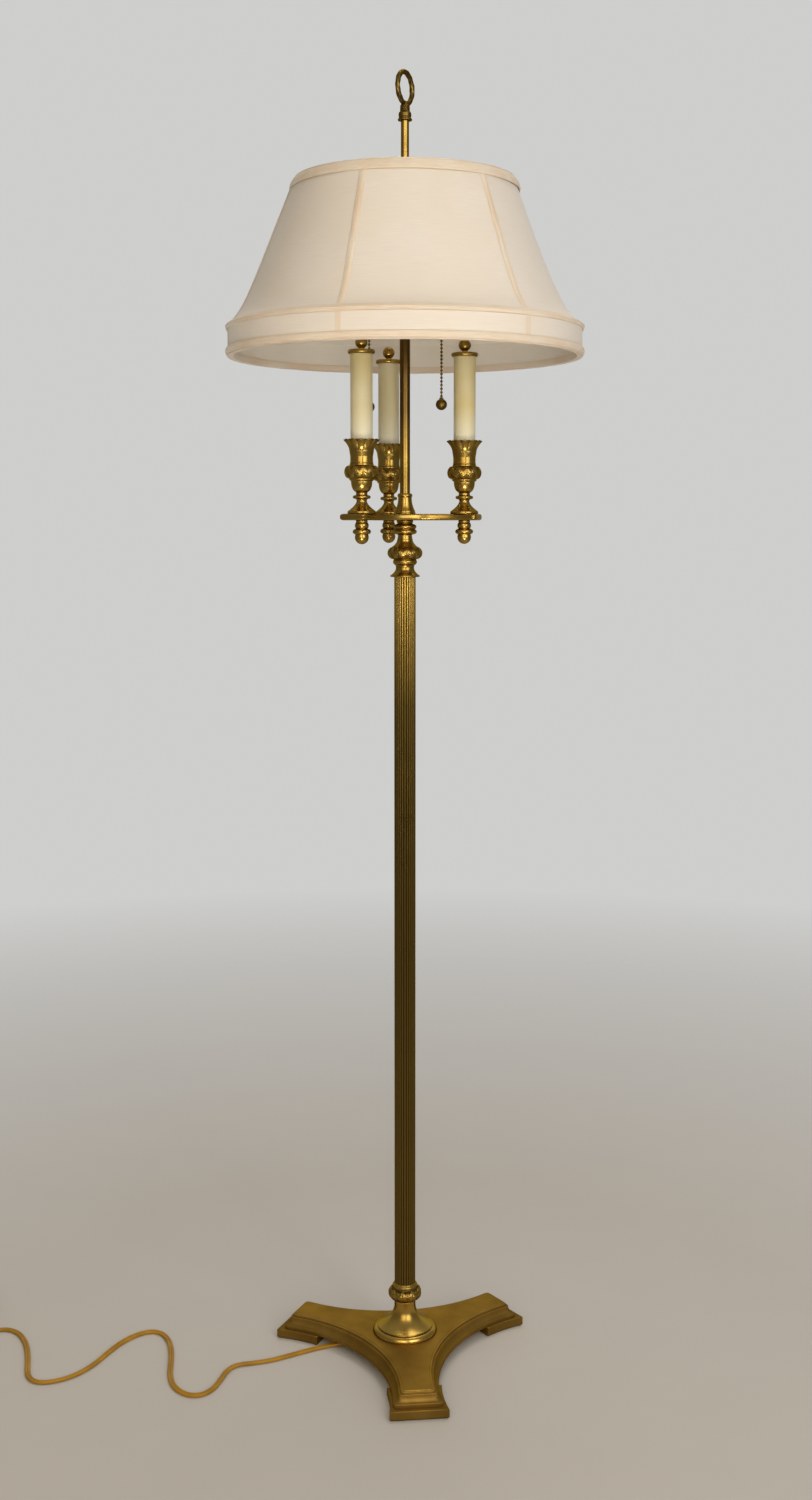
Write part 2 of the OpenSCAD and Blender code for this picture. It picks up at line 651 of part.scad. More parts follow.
hub_h = 6;
seat_r = 8.5;
seat_h = 4;
z_shade_top = z_riser + shade_rise;
z_hub = z_shade_top - hub_drop;
finial_bore = 8;
module riser_rod() {
    color(brass) union() {
        translate([0, 0, z_riser - riser_grip]) cylinder(r = riser_r, h = riser_h + riser_grip + finial_bore - fit_gap);
        translate([0, 0, z_hub - seat_h]) cylinder(r = seat_r, h = seat_h);
    }
}
nut_clear = 0.3;
module shade_nut() {
    color(brass) translate([0, 0, z_hub + hub_h + nut_clear]) difference() {
        linear_extrude(6) for (i = [0 : 2]) rotate(20 * i) circle(r = 9, $fn = 6);
        translate([0, 0, -eps]) cylinder(r = riser_r + run_gap, h = 6 + 2 * eps);
    }
}
module ring_finial() {
    bar = ring_bar_d / 2;
    collar_z = 3.4;
    neck_z = 11;
    neck_h = 8.5;
    profile = [[8.3, 0.2], [8.3, 2.2], [6.9, collar_z], [7.3, collar_z + 1.4], [7.3, neck_z - 2.6], [6.2, neck_z - 0.8],
        [5.3, neck_z], [5.5, neck_z + 1.6], [5.1, neck_z + 2.4], [5.5, neck_z + 3.4], [5.1, neck_z + 4.4], [5.3, neck_z + neck_h]];
    ring_z = neck_z + neck_h + ring_d / 2 - bar;
    color(dark_brass) translate([0, 0, z_finial]) difference() {
        union() {
            rotate_extrude() polygon(concat([[0, 0.2]], profile, [[0, neck_z + neck_h]]));
            translate([0, 0, ring_z]) rotate([90, 0, ring_turn]) rotate_extrude() translate([ring_d / 2 - bar, 0]) circle(bar, $fn = 32);
        }
        translate([0, 0, -eps]) cylinder(r = riser_r + run_gap, h = finial_bore + eps);
    }
}

// Shade

z_rim = z_shade_top - shade_h;
z_band = z_rim + band_h;
shade_taper = (shade_band_r - shade_flare - shade_top_r) / (z_shade_top - z_band);
// Outer radius of the fabric at a height
function shade_r(z) = z < z_band ? shade_band_r
    : shade_top_r + shade_taper * (z_shade_top - z) + shade_flare * exp(-(z - z_band) / flare_len);
// Heights at which the shade's profile is taken: closer together over the flare
shade_steps = [for (i = [0 : 12]) z_band + (z_shade_top - z_band) * pow(i / 12, 1.5)];
// A band of the shade's wall between two depths below the fabric's face
function shade_wall(depth_a, depth_b, low, high) =
    let (zs = concat([low], [for (z = shade_steps) if (z > low && z < high) z], [high]))
    concat([for (z = zs) [shade_r(z) - depth_a, z]], [for (i = [len(zs) - 1 : -1 : 0]) [shade_r(zs[i]) - depth_b, zs[i]]]);
wire_face = fabric_t + 0.4;
lining_face = wire_face + wire_d + fit_gap;
lining_t = 0.8;
rib_w = 2.6;
hub_r = 12;
spider_w = 5;
spider_t = 3;
module shade_spider() {
    arm_end = shade_r(z_hub + spider_t) - lining_face;
    color(steel) difference() {
        union() {
            translate([0, 0, z_hub]) cylinder(r = hub_r, h = hub_h);
            for (k = [0 : 2]) rotate(shade_turn + 180 / panels + 120 * k) translate([hub_r - eps, -spider_w / 2, z_hub + 1])
                cube([arm_end - hub_r + eps, spider_w, spider_t]);
        }
        translate([0, 0, z_hub - eps]) cylinder(r = riser_r + run_gap, h = hub_h + 2 * eps);
    }
}
// The two rings are thinner than the ribs, which take them in whole
ring_wire = 0.7 * wire_d;
module shade_ring(z) {
    translate([0, 0, z]) rotate_extrude($fn = 128) translate([shade_r(z) - wire_face - wire_d / 2, 0]) circle(d = ring_wire, $fn = 24);
}
module shade_frame() {
    low = z_rim + wire_d;
    high = z_hub + 1 + spider_t / 2;
    color(steel) union() {
        shade_ring(low);
        shade_ring(high);
        for (i = [0 : panels - 1]) rotate([90, 0, shade_turn + 180 / panels + 360 * i / panels])
            translate([0, 0, -rib_w / 2]) linear_extrude(rib_w)
                polygon(shade_wall(wire_face, wire_face + wire_d, low - 0.8 * ring_wire, high + 0.8 * ring_wire));
    }
}
module shade_cover() {
    color(cream) rotate_extrude($fn = 128) polygon(shade_wall(0, fabric_t, z_rim, z_shade_top));
}
lining_top = 10;
module shade_lining() {
    color("whitesmoke") rotate_extrude($fn = 128)
        polygon(shade_wall(lining_face, lining_face + lining_t, z_rim + 1, z_shade_top - lining_top));
}
module trim_ring(low, high) {
    color(cream) rotate_extrude($fn = 128) polygon(shade_wall(-trim_t - fit_gap, -fit_gap, low, high));
}
seam_w = 7.6;
seam_t = 0.8;
module shade_trim() {
    trim_ring(z_shade_top - top_trim_h, z_shade_top + 0.5);
    trim_ring(z_band - band_trim_h / 2, z_band + band_trim_h / 2);
    trim_ring(z_rim, z_rim + band_trim_h);
    seam_low = z_band + band_trim_h / 2 + fit_gap;
    seam_high = z_shade_top - top_trim_h - fit_gap;
    color(cream) for (i = [0 : panels - 1]) rotate([90, 0, shade_turn + 180 / panels + 360 * i / panels])
        translate([0, 0, -seam_w / 2]) linear_extrude(seam_w) polygon(shade_wall(-fit_gap - seam_t, -fit_gap, seam_low, seam_high));
}

// Cord

cord_r = cord_d / 2;
function unit(v) = v / norm(v);
// A tube along a path: rings square to the path, level side vector
function tube_frame(path, i) =
    let (a = path[max(i - 1, 0)], b = path[min(i + 1, len(path) - 1)], t = unit(b - a),
         s = unit(abs(t[2]) > 0.99 ? cord_side : cross(t, [0, 0, 1]))) [s, cross(s, t)];
module tube(path, r, sides) {
    n = len(path);
    points = [for (i = [0 : n - 1]) let (f = tube_frame(path, i)) for (j = [0 : sides - 1])
        path[i] + r * cos(360 * j / sides) * f[0] + r * sin(360 * j / sides) * f[1]];
    walls = [for (i = [0 : n - 2], j = [0 : sides - 1]) let (k = (j + 1) % sides, a = i * sides, b = a + sides)
        each [[a + j, b + j, b + k], [a + j, b + k, a + k]]];
    ends = [for (j = [1 : sides - 2]) each [[0, j, j + 1], [(n - 1) * sides, (n - 1) * sides + j + 1, (n - 1) * sides + j]]];
    polyhedron(points, concat(walls, ends), convexity = 10);
}
// Way the cord leaves the pipe under the base
grip_turn = 172;
grip_dir = [cos(grip_turn), sin(grip_turn), 0];
cord_side = cross(grip_dir, [0, 0, 1]);
grip_z = cord_d / 2 + 2.2;
grip_in = 30;
grip_out = 42;
grip_w = 12;
sleeve_end = 64;
bend_r = 9;
inner_r = min(pipe_r - pipe_wall - 0.4, cord_r);
module inner_cord() {
    bend = [for (i = [0 : 6]) let (a = 90 * i / 6) (bend_r - bend_r * cos(a)) * grip_dir + [0, 0, grip_z + bend_r - bend_r * sin(a)]];
    color(gold_cord) tube(concat([[0, 0, z_cluster + cluster_grip]], bend, [(sleeve_end - 8) * grip_dir + [0, 0, grip_z],
        sleeve_end * grip_dir + [0, 0, grip_z]]), inner_r, 10);
}
module cord_grip() {
    color(black) rotate(grip_turn) difference() {
        union() {
            translate([grip_in, -grip_w / 2, grip_z - grip_w / 2 + 2]) cube([grip_out - grip_in, grip_w, base_pocket - grip_z + grip_w / 2 - 2]);
            translate([grip_out - eps, 0, grip_z]) rotate([0, 90, 0])
                cylinder(r1 = cord_r + 1.8, r2 = cord_r + 0.9, h = sleeve_end - grip_out + eps);
        }
        translate([grip_in - eps, 0, grip_z]) rotate([0, 90, 0]) cylinder(r = inner_r + fit_gap, h = sleeve_end - grip_in + 2 * eps);
    }
}
floor_z = cord_r + 0.1;
// Where the cord lies, chosen by hand: out from under the arch, in loose curves to the coil
run_points = [[-64, 9, grip_z], [-70, 9.8, grip_z - 0.3], [-81, 11, floor_z + 0.9], [-93, 10, floor_z + 0.2], [-108, 4, floor_z], [-125, -5, floor_z], [-144, -16, floor_z],
    [-163, -26, floor_z], [-189, -34, floor_z], [-203, -36, floor_z], [-213, -47, floor_z], [-219, -70, floor_z], [-227, -96, floor_z],
    [-242, -110, floor_z], [-260, -104, floor_z], [-275, -84, floor_z], [-282, -55, floor_z], [-285, -22, floor_z], [-291, 12, floor_z],
    [-302, 38, floor_z], [-318, 48, floor_z], [-336, 38, floor_z], [-353, 17, floor_z], [-366, -10, floor_z], [-379, -40, floor_z],
    [-397, -64, floor_z], [-419, -77, floor_z], [-438, -79, floor_z], [-450, -66, floor_z], [-456, -42, floor_z], [-463, -10, floor_z],
    [-474, 22, floor_z], [-489, 45, floor_z], [-508, 53, floor_z], [-527, 42, floor_z], [-543, 27, floor_z]];
tie_t = 0.8;
tie_w = 6;
coil_pitch = cord_d + coil_gap;
coil_center = [-578, 62];
coil_low = tie_t + fit_gap + cord_r;
coil_start = [coil_center[0], coil_center[1] - coil_r, coil_low];
coil_turns = coil_loops * coil_layers;
ring_step = 15;
// Position in the coil after a turned angle: the radius runs in and out again, a layer at a time
function coil_point(a) =
    let (layer_a = 360 * coil_loops, layer = min(floor(a / layer_a), coil_layers - 1), part = a / layer_a - layer,
         share = layer % 2 == 0 ? part : 1 - part,
         r = coil_r - coil_pitch * coil_loops * share,
         near = round(a / layer_a), climb = (a - near * layer_a) / 180,
         level = near <= 0 || near >= coil_layers || abs(climb) > 0.5 ? layer : near - 0.5 + climb)
    [coil_center[0] + r * cos(270 - a), coil_center[1] + r * sin(270 - a), coil_low + coil_pitch * level];
// The last stretch leaves the top layer and comes down round the outside
tail_turn = 135;
plug_z = 8.2;
coil_top = coil_low + coil_pitch * (coil_layers - 1);
function tail_point(t) =
    let (r = coil_r + (coil_pitch + 0.4) * min(1, 3 * t), a = 360 * coil_turns + tail_turn * t)
    [coil_center[0] + r * cos(270 - a), coil_center[1] + r * sin(270 - a),
     coil_top + (plug_z - coil_top) * (t < 0.25 ? 0 : (t - 0.25) / 0.75)];
tail_end = tail_point(1);
plug_dir = let (a = 270 - 360 * coil_turns - tail_turn) [sin(a), -cos(a), 0];
coil_path = concat(
    [coil_start + [cord_d * 1.2, 0, 0]],
    [for (a = [0 : ring_step : 360 * coil_turns - 1]) coil_point(a)],
    [for (i = [0 : 9]) tail_point(i / 9)],
    [tail_end + 1.5 * cord_d * plug_dir]);
coil_self_gap = min([for (i = [0 : len(coil_path) - 13], j = [i + 12 : len(coil_path) - 1]) norm(coil_path[i] - coil_path[j])]) - cord_d;
echo(coil_self_gap = coil_self_gap, coil_length = sum_len(coil_path), run_length = sum_len(run_path));
function sum_len(path) = [for (i = 0, s = 0; i < len(path); s = s + (i + 1 < len(path) ? norm(path[i + 1] - path[i]) : 0), i = i + 1) s][len(path) - 1];
// A smooth path through the run's points, with one more point half way along each stretch
run_ends = concat(run_points, [coil_path[0] + [1.2 * cord_d, 0, 0], coil_path[0]]);
run_path = concat([for (i = [0 : len(run_ends) - 2])
    let (a = run_ends[max(i - 1, 0)], b = run_ends[i], c = run_ends[i + 1], d = run_ends[min(i + 2, len(run_ends) - 1)])
    each (i < 1 || i > len(run_ends) - 3 ? [b] : [b, (9 * (b + c) - a - d) / 16])], [run_ends[len(run_ends) - 1]]);
module cord_run() { color(gold_cord) tube(run_path, cord_r, 10); }
module cord_coil() { color(gold_cord) tube(coil_path, cord_r, 6); }
tie_turn = 40;
module cord_tie() {
    low_r = coil_r - coil_pitch * coil_loops - cord_r - fit_gap;
    high_r = coil_r + cord_r + fit_gap;
    high = coil_top + cord_r + fit_gap;
    color(dark_brass) translate([coil_center[0], coil_center[1], 0]) rotate([90, 0, tie_turn]) linear_extrude(tie_w, center = true)
        difference() {
            translate([low_r - tie_t, 0]) square([high_r - low_r + 2 * tie_t, high + tie_t]);
            translate([low_r, tie_t]) square([high_r - low_r, high - tie_t]);
        }
}
plug_h = 15.6;
plug_w = 25;
plug_len = 26;
relief_len = 20;
blade_len = 17;
blade_w = 6.3;
blade_t = 1.5;
blade_gap = 12.7;
module plug() {
    start = coil_path[len(coil_path) - 1];
    heading = atan2(plug_dir[1], plug_dir[0]);
    body = relief_len + plug_len;
    color(gold_cord) translate(start) rotate(heading) {
        rotate([0, 90, 0]) cylinder(r1 = cord_r + 0.6, r2 = cord_r + 3, h = relief_len + 1);
        translate([0, 0, -plug_h / 2]) linear_extrude(plug_h) polygon([[relief_len, -plug_w * 0.28], [relief_len + 5, -plug_w * 0.42],
            [body - 4, -plug_w / 2], [body, -plug_w / 2 + 2], [body, plug_w / 2 - 2], [body - 4, plug_w / 2],
            [relief_len + 5, plug_w * 0.42], [relief_len, plug_w * 0.28]]);
        for (side = [-1, 1]) translate([body - eps, side * blade_gap / 2 - blade_t / 2, -blade_w / 2]) cube([blade_len + eps, blade_t, blade_w]);
    }
}

base_casting();
foot_pads();
base_nut();
bell_collar();
lower_knop();
fluted_column();
column_cap();
upper_knop();
neck_spool();
arm_plate();
core_pipe();
stem_collar();
stem_tube();
for (k = [1 : 3]) {
    candle_base(k);
    candle_urn(k);
    candle_cup(k);
    candle_sleeve(k);
    candle_cap(k);
}
candle_rods();
acorn_nuts();
cluster_body();
for (k = [1, 2]) {
    socket_cap(k);
    socket_shell(k);
    socket_body(k);
    switch_lever(k);
    pull_chain(k);
    bulb(k);
}
screw_shells();
center_contacts();
riser_rod();
shade_nut();
ring_finial();
shade_spider();
shade_frame();
shade_cover();
shade_lining();
shade_trim();
inner_cord();
cord_grip();
cord_run();
cord_coil();
cord_tie();
plug();
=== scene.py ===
"""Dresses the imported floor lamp: turned and carved brass, candles, shade, cord and a plain studio."""
import math

import bpy
import numpy as np
from bpy.props import FloatProperty, FloatVectorProperty, IntProperty, PointerProperty
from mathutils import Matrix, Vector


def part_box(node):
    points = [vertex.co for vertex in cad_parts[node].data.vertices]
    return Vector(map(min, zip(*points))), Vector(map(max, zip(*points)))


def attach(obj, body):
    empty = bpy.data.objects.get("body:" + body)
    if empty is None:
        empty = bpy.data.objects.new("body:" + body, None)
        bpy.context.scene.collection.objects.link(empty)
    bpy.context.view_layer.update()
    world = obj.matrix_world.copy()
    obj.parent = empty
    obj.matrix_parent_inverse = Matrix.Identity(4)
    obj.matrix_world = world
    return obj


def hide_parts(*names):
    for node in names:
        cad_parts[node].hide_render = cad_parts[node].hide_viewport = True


bl_info = {
    "name": "Candle Floor Lamp",
    "version": (1, 0, 0),
    "blender": (4, 5, 0),
    "location": "View3D > Sidebar > Lamp",
    "description": "Dresses a brass floor lamp with its carving, finishes, shade and cord",
    "category": "Object",
}

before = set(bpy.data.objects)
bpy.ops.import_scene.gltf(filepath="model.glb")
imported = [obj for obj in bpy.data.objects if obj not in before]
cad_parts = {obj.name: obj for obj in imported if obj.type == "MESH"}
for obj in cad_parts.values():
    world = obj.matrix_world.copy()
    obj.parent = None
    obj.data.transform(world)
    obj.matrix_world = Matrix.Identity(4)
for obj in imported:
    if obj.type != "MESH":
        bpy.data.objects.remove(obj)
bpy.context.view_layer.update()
TAU = 2 * math.pi

# The cord's route in millimetres, as in the solids: out from under the arch, in loose curves to the coil
CORD_RUN = np.array([
    (-64, 9, 5.6), (-70, 9.8, 5.3), (-81, 11, 4.4), (-93, 10, 3.7), (-108, 4, 3.5), (-125, -5, 3.5), (-144, -16, 3.5),
    (-163, -26, 3.5), (-189, -34, 3.5), (-203, -36, 3.5), (-213, -47, 3.5), (-219, -70, 3.5), (-227, -96, 3.5),
    (-242, -110, 3.5), (-260, -104, 3.5), (-275, -84, 3.5), (-282, -55, 3.5), (-285, -22, 3.5), (-291, 12, 3.5),
    (-302, 38, 3.5), (-318, 48, 3.5), (-336, 38, 3.5), (-353, 17, 3.5), (-366, -10, 3.5), (-379, -40, 3.5),
    (-397, -64, 3.5), (-419, -77, 3.5), (-438, -79, 3.5), (-450, -66, 3.5), (-456, -42, 3.5), (-463, -10, 3.5),
    (-474, 22, 3.5), (-489, 45, 3.5), (-508, 53, 3.5), (-527, 42, 3.5), (-543, 27, 3.5)], float)
COIL_CENTER = np.array((-578.0, 62.0))


class LampSizes(bpy.types.PropertyGroup):
    """Sizes of the dressed pieces that the solids leave plain."""
    reeds: IntProperty(name="Reeds", description="Reeds round the column", default=24, min=12, max=36)
    leaf_depth: FloatProperty(name="Leaf depth", description="Relief of the leaves under the column",
                              default=0.0011, min=0.0, max=0.003, unit="LENGTH")
    wreath_depth: FloatProperty(name="Wreath depth", description="Relief of the laurel wreaths",
                                default=0.0006, min=0.0, max=0.003, unit="LENGTH")
    flute_depth: FloatProperty(name="Flute depth", description="Relief of the candle cups at their rims",
                               default=0.0010, min=0.0, max=0.002, unit="LENGTH")
    panel_sag: FloatProperty(name="Panel sag", description="How far the cloth draws in at the middle of a panel",
                             default=0.0042, min=0.0, max=0.008, unit="LENGTH")
    binding_width: FloatProperty(name="Rib binding", description="Width of the binding over a rib of the shade",
                                 default=0.0078, min=0.003, max=0.010, unit="LENGTH")
    cord_width: FloatProperty(name="Cord width", description="Width of the flat twin cord",
                              default=0.0068, min=0.005, max=0.0072, unit="LENGTH")
    cord_height: FloatProperty(name="Cord height", description="Height of the flat twin cord",
                               default=0.0038, min=0.003, max=0.005, unit="LENGTH")


class LampFinishes(bpy.types.PropertyGroup):
    """Colours of the finishes."""
    brass: FloatVectorProperty(name="Brass", description="Aged brass on the high points", subtype="COLOR",
                               default=(0.45, 0.292, 0.068), min=0.0, max=1.0)
    brass_shade: FloatVectorProperty(name="Brass clouds", description="Duller clouds in the brass", subtype="COLOR",
                                     default=(0.325, 0.204, 0.045), min=0.0, max=1.0)
    patina: FloatVectorProperty(name="Patina", description="Dark patina in the recesses", subtype="COLOR",
                                default=(0.070, 0.042, 0.010), min=0.0, max=1.0)
    # Tarnish together with painted shade: the red-brown that the stem goes over to beneath the shade.
    tarnish_and_painted_light: FloatVectorProperty(name="Tarnish", description="Red-brown tarnish on the stem", subtype="COLOR",
                                 default=(0.115, 0.064, 0.019), min=0.0, max=1.0)
    base_brass: FloatVectorProperty(name="Base brass", description="Satin brass of the base", subtype="COLOR",
                                    default=(0.42, 0.245, 0.050), min=0.0, max=1.0)
    ivory: FloatVectorProperty(name="Ivory", description="Candle sleeves", subtype="COLOR",
                               default=(0.735, 0.705, 0.56), min=0.0, max=1.0)
    # Partly a real tan, partly painted shade: the tone the sleeves go over to towards their tops, under the shade.
    scorch_and_shade: FloatVectorProperty(name="Scorch", description="Tanned top of a candle sleeve", subtype="COLOR",
                                default=(0.58, 0.46, 0.19), min=0.0, max=1.0)
    cloth: FloatVectorProperty(name="Cloth", description="Shade panels", subtype="COLOR",
                               default=(0.765, 0.685, 0.60), min=0.0, max=1.0)
    trim: FloatVectorProperty(name="Trim", description="Bindings of the shade", subtype="COLOR",
                              default=(0.77, 0.665, 0.54), min=0.0, max=1.0)
    lining: FloatVectorProperty(name="Lining", description="Lining of the shade", subtype="COLOR",
                                default=(0.82, 0.76, 0.66), min=0.0, max=1.0)
    cord: FloatVectorProperty(name="Cord", description="Gold cord and plug", subtype="COLOR",
                              default=(0.47, 0.235, 0.012), min=0.0, max=1.0)
    steel: FloatVectorProperty(name="Steel", description="Plated steel inside the lamp", subtype="COLOR",
                               default=(0.60, 0.59, 0.56), min=0.0, max=1.0)
    floor: FloatVectorProperty(name="Floor", description="Pale studio floor", subtype="COLOR",
                               default=(0.60, 0.555, 0.50), min=0.0, max=1.0)


# Profiles and surfaces, in millimetres


def span(node):
    """Lowest corner and size of a CAD node at rest."""
    low, high = (np.array(corner) * 1000 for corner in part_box(node))
    return low, high - low


def axis_of(node):
    """Plan place of an upright CAD node's axis: the middle of its box."""
    low, size = span(node)
    return (low + size / 2)[:2]


def oval(center, rx, rz, start, end, count):
    """Part of an oval: centre plus two radii times the cosine and sine of an even angle, in degrees."""
    a = np.radians(np.linspace(start, end, count + 1))
    return np.column_stack([center[0] + rx * np.cos(a), center[1] + rz * np.sin(a)])


def flare(r_low, z_low, r_high, z_high, power, count=16):
    """A hollow flare: the radius falls from low to high with a power of the height that is left."""
    t = np.linspace(0, 1, count + 1)
    return np.column_stack([r_high + (r_low - r_high) * (1 - t) ** power, z_low + (z_high - z_low) * t])


def line(*parts):
    """One profile from points and rows of points."""
    return np.vstack([np.atleast_2d(np.asarray(part, float)) for part in parts])


def even(points, step):
    """The same line with its points set out again at an even step along its length."""
    lengths = np.concatenate([[0], np.cumsum(np.linalg.norm(np.diff(points, axis=0), axis=1))])
    at = np.linspace(0, lengths[-1], max(4, int(round(lengths[-1] / step))) + 1)
    return np.column_stack([np.interp(at, lengths, column) for column in points.T])


def soften(points, step=0.45, passes=2):
    """A profile with its corners eased: an even line, each point drawn to the mean of its neighbours a few times."""
    eased = even(points, step)
    for _ in range(passes):
        eased[1:-1] = 0.25 * eased[:-2] + 0.5 * eased[1:-1] + 0.25 * eased[2:]
    return eased


def through(points, parts):
    """A smooth line through points: on each stretch the cubic whose slope at a point is half the step
    between its two neighbours, cut into equal parts."""
    p = np.asarray(points, float)
    ends = np.vstack([2 * p[0] - p[1], p, 2 * p[-1] - p[-2]])
    a, b, c, d = (ends[i:len(ends) - 3 + i, None] for i in range(4))
    t = (np.arange(parts) / parts)[None, :, None]
    curve = 0.5 * (2 * b + (c - a) * t + (2 * a - 5 * b + 4 * c - d) * t ** 2 + (3 * b - a - 3 * c + d) * t ** 3)
    return np.vstack([curve.reshape(-1, 3), p[-1:]])


def circle(count):
    """Even angles once round, from zero."""
    return np.arange(count) * TAU / count


def polar(radius, angle, height):
    """Points at a radius and an angle round the axis, and at a height."""
    return np.stack(np.broadcast_arrays(radius * np.cos(angle), radius * np.sin(angle), height), -1)


def spun(flat, turn):
    """Plan points turned about the axis."""
    c, s = math.cos(turn), math.sin(turn)
    return np.stack([c * flat[..., 0] - s * flat[..., 1], s * flat[..., 0] + c * flat[..., 1]], -1)


def layered(flat, heights):
    """Rows of plan points, each row lifted to its height."""
    return np.dstack([flat, heights[:, None] + np.zeros(flat.shape[:2])])


def lathe(profile, columns=96, relief=None, center=(0.0, 0.0)):
    """A turned surface: each profile point (radius, height) goes round the axis. relief takes angle, height and the
    outward lean of the profile's normal, and gives a rise along that normal and a recess share."""
    slope = np.gradient(profile, axis=0)
    normal = np.column_stack([slope[:, 1], -slope[:, 0]])
    normal /= np.maximum(np.linalg.norm(normal, axis=1), 1e-9)[:, None]
    angle, plain = circle(columns)[None], np.zeros((len(profile), columns))
    rise, recess = relief(angle, profile[:, 1:], normal[:, :1]) if relief else (plain, plain)
    points = polar(profile[:, :1] + normal[:, :1] * rise, angle, profile[:, 1:] + normal[:, 1:] * rise)
    return points + (*center, 0.0), recess + plain


def sweep(path, section, roll):
    """A section carried along a path: at each point its two axes are the level side vector and the one square to
    it and to the path, turned by roll. section holds (side, up) points and may differ from row to row."""
    along = np.gradient(path, axis=0)
    along /= np.linalg.norm(along, axis=1)[:, None]
    side = np.cross(along, (0.0, 0.0, 1.0))
    side /= np.linalg.norm(side, axis=1)[:, None]
    up = np.cross(side, along)
    c, s = np.cos(roll)[:, None], np.sin(roll)[:, None]
    side, up = c * side + s * up, c * up - s * side
    section = np.broadcast_to(section, (len(path),) + section.shape[-2:])
    return path[:, None] + section[..., :1] * side[:, None] + section[..., 1:] * up[:, None]


def tilted(points, center, axis_tilt, turn):
    """Points turned from an upright axis to one that leans by a tilt towards a turn about Z, then moved."""
    ct, st, cz, sz = math.cos(axis_tilt), math.sin(axis_tilt), math.cos(turn), math.sin(turn)
    lean = np.array([[ct, 0, st], [0, 1, 0], [-st, 0, ct]])
    spin = np.array([[cz, -sz, 0], [sz, cz, 0], [0, 0, 1]])
    return points @ (spin @ lean).T + np.asarray(center, float)


def star_bay(shape):
    """Centre and radius of the circle between two arms of a three-armed star: it runs through the near corners of
    both arms and through the waist."""
    reach, half, waist = shape
    along = reach * math.cos(TAU / 6) + half * math.sin(TAU / 6)
    across = reach * math.sin(TAU / 6) - half * math.cos(TAU / 6)
    bay = (across ** 2 + (along - waist) ** 2) / (2 * (along - waist))
    return (waist + bay) * math.cos(TAU / 6), (waist + bay) * math.sin(TAU / 6), bay


def star_rows(shape, ends, insets, turn, line_count=10, bay_count=42):
    """Outlines of a three-armed star, one row for each pair of end distance and inset: a straight line across
    each arm's end, and between two arms part of the bay's circle, widened by the inset."""
    cx, cy, bay = star_bay(shape)
    wide = bay + insets
    corner = cy - np.sqrt(wide ** 2 - (ends - cx) ** 2)
    share = np.linspace(-1, 1, line_count, endpoint=False)[None]
    straight = np.stack([ends[:, None] + 0 * share, corner[:, None] * share], -1)
    first = (np.arctan2(corner - cy, ends - cx) % TAU)[:, None]
    angle = first + (8 * math.pi / 3 - 2 * first) * np.linspace(0, 1, bay_count, endpoint=False)[None]
    hollow = np.stack([cx + wide[:, None] * np.cos(angle), cy + wide[:, None] * np.sin(angle)], -1)
    arm = np.concatenate([straight, hollow], 1)
    return np.concatenate([spun(arm, turn + k * TAU / 3) for k in range(3)], 1)


def block_rows(shape, inner, insets, heights, turn, side_count=14, end_count=8):
    """Outlines of one foot block under an arm's end: the end line, the hollow side back to the inner line, that
    line, and the other hollow side, all set in by each row's inset."""
    cx, cy, bay = star_bay(shape)
    reach, insets = shape[0], insets[:, None]
    x = reach - insets + (inner - reach + 2 * insets) * np.linspace(0, 1, side_count)[None]
    y = cy - np.sqrt((bay + insets) ** 2 - (x - cx) ** 2)
    share = np.linspace(-1, 1, end_count)[None, 1:-1]
    end = np.stack([x[:, :1] + 0 * share, y[:, :1] * share], -1)
    back = np.stack([x[:, -1:] + 0 * share, -y[:, -1:] * share], -1)
    left, right = np.stack([x, y], -1), np.stack([x, -y], -1)[:, ::-1]
    return layered(spun(np.concatenate([end, left, back, right], 1), turn), heights)


def round_plan(points, passes):
    """Outlines with their corners rounded in plan: each point drawn to the mean of its neighbours along its row."""
    for _ in range(passes):
        points = 0.25 * np.roll(points, 1, 1) + 0.5 * points + 0.25 * np.roll(points, -1, 1)
    return points


# Carving: each gives a rise in millimetres and a recess share from 0 on the high points to 1 in the ground


def upright_leaves(count, low, tip, depth):
    """Leaves side by side: a leaf keeps most of its width to two thirds of its height and closes to a point,
    swells over its width, has a sunk midrib and curls out at the tip; a lower leaf shows between two."""
    def relief(angle, height, lean):
        t = np.clip((height - low) / (tip - low), 0, 1)
        turn = angle * count / TAU

        def leaf(shift, top, swell):
            across = (turn + shift) % 1.0 - 0.5
            width = 0.47 * np.sqrt(np.clip(1 - (t / top) ** 3, 1e-4, 1))
            body = np.sqrt(np.clip(1 - (across / width) ** 2, 0, 1)) * (t < top)
            rib = 0.45 * np.exp(-(across / 0.035) ** 2) * body
            veins = 0.16 * body * np.cos(TAU * (5 * t - 2.2 * np.abs(across)))
            return swell * (body * (0.75 + 0.6 * t ** 3) - rib + veins)
        rise = np.maximum(leaf(0.0, 1.0, 1.0), leaf(0.5, 0.94, 0.62))
        mask = np.clip((height - low) / 1.2, 0, 1) * np.clip((tip + 1.2 - height) / 1.2, 0, 1)
        return depth * (rise - 0.75) * mask, np.clip(1 - rise, 0, 1) * mask
    return relief


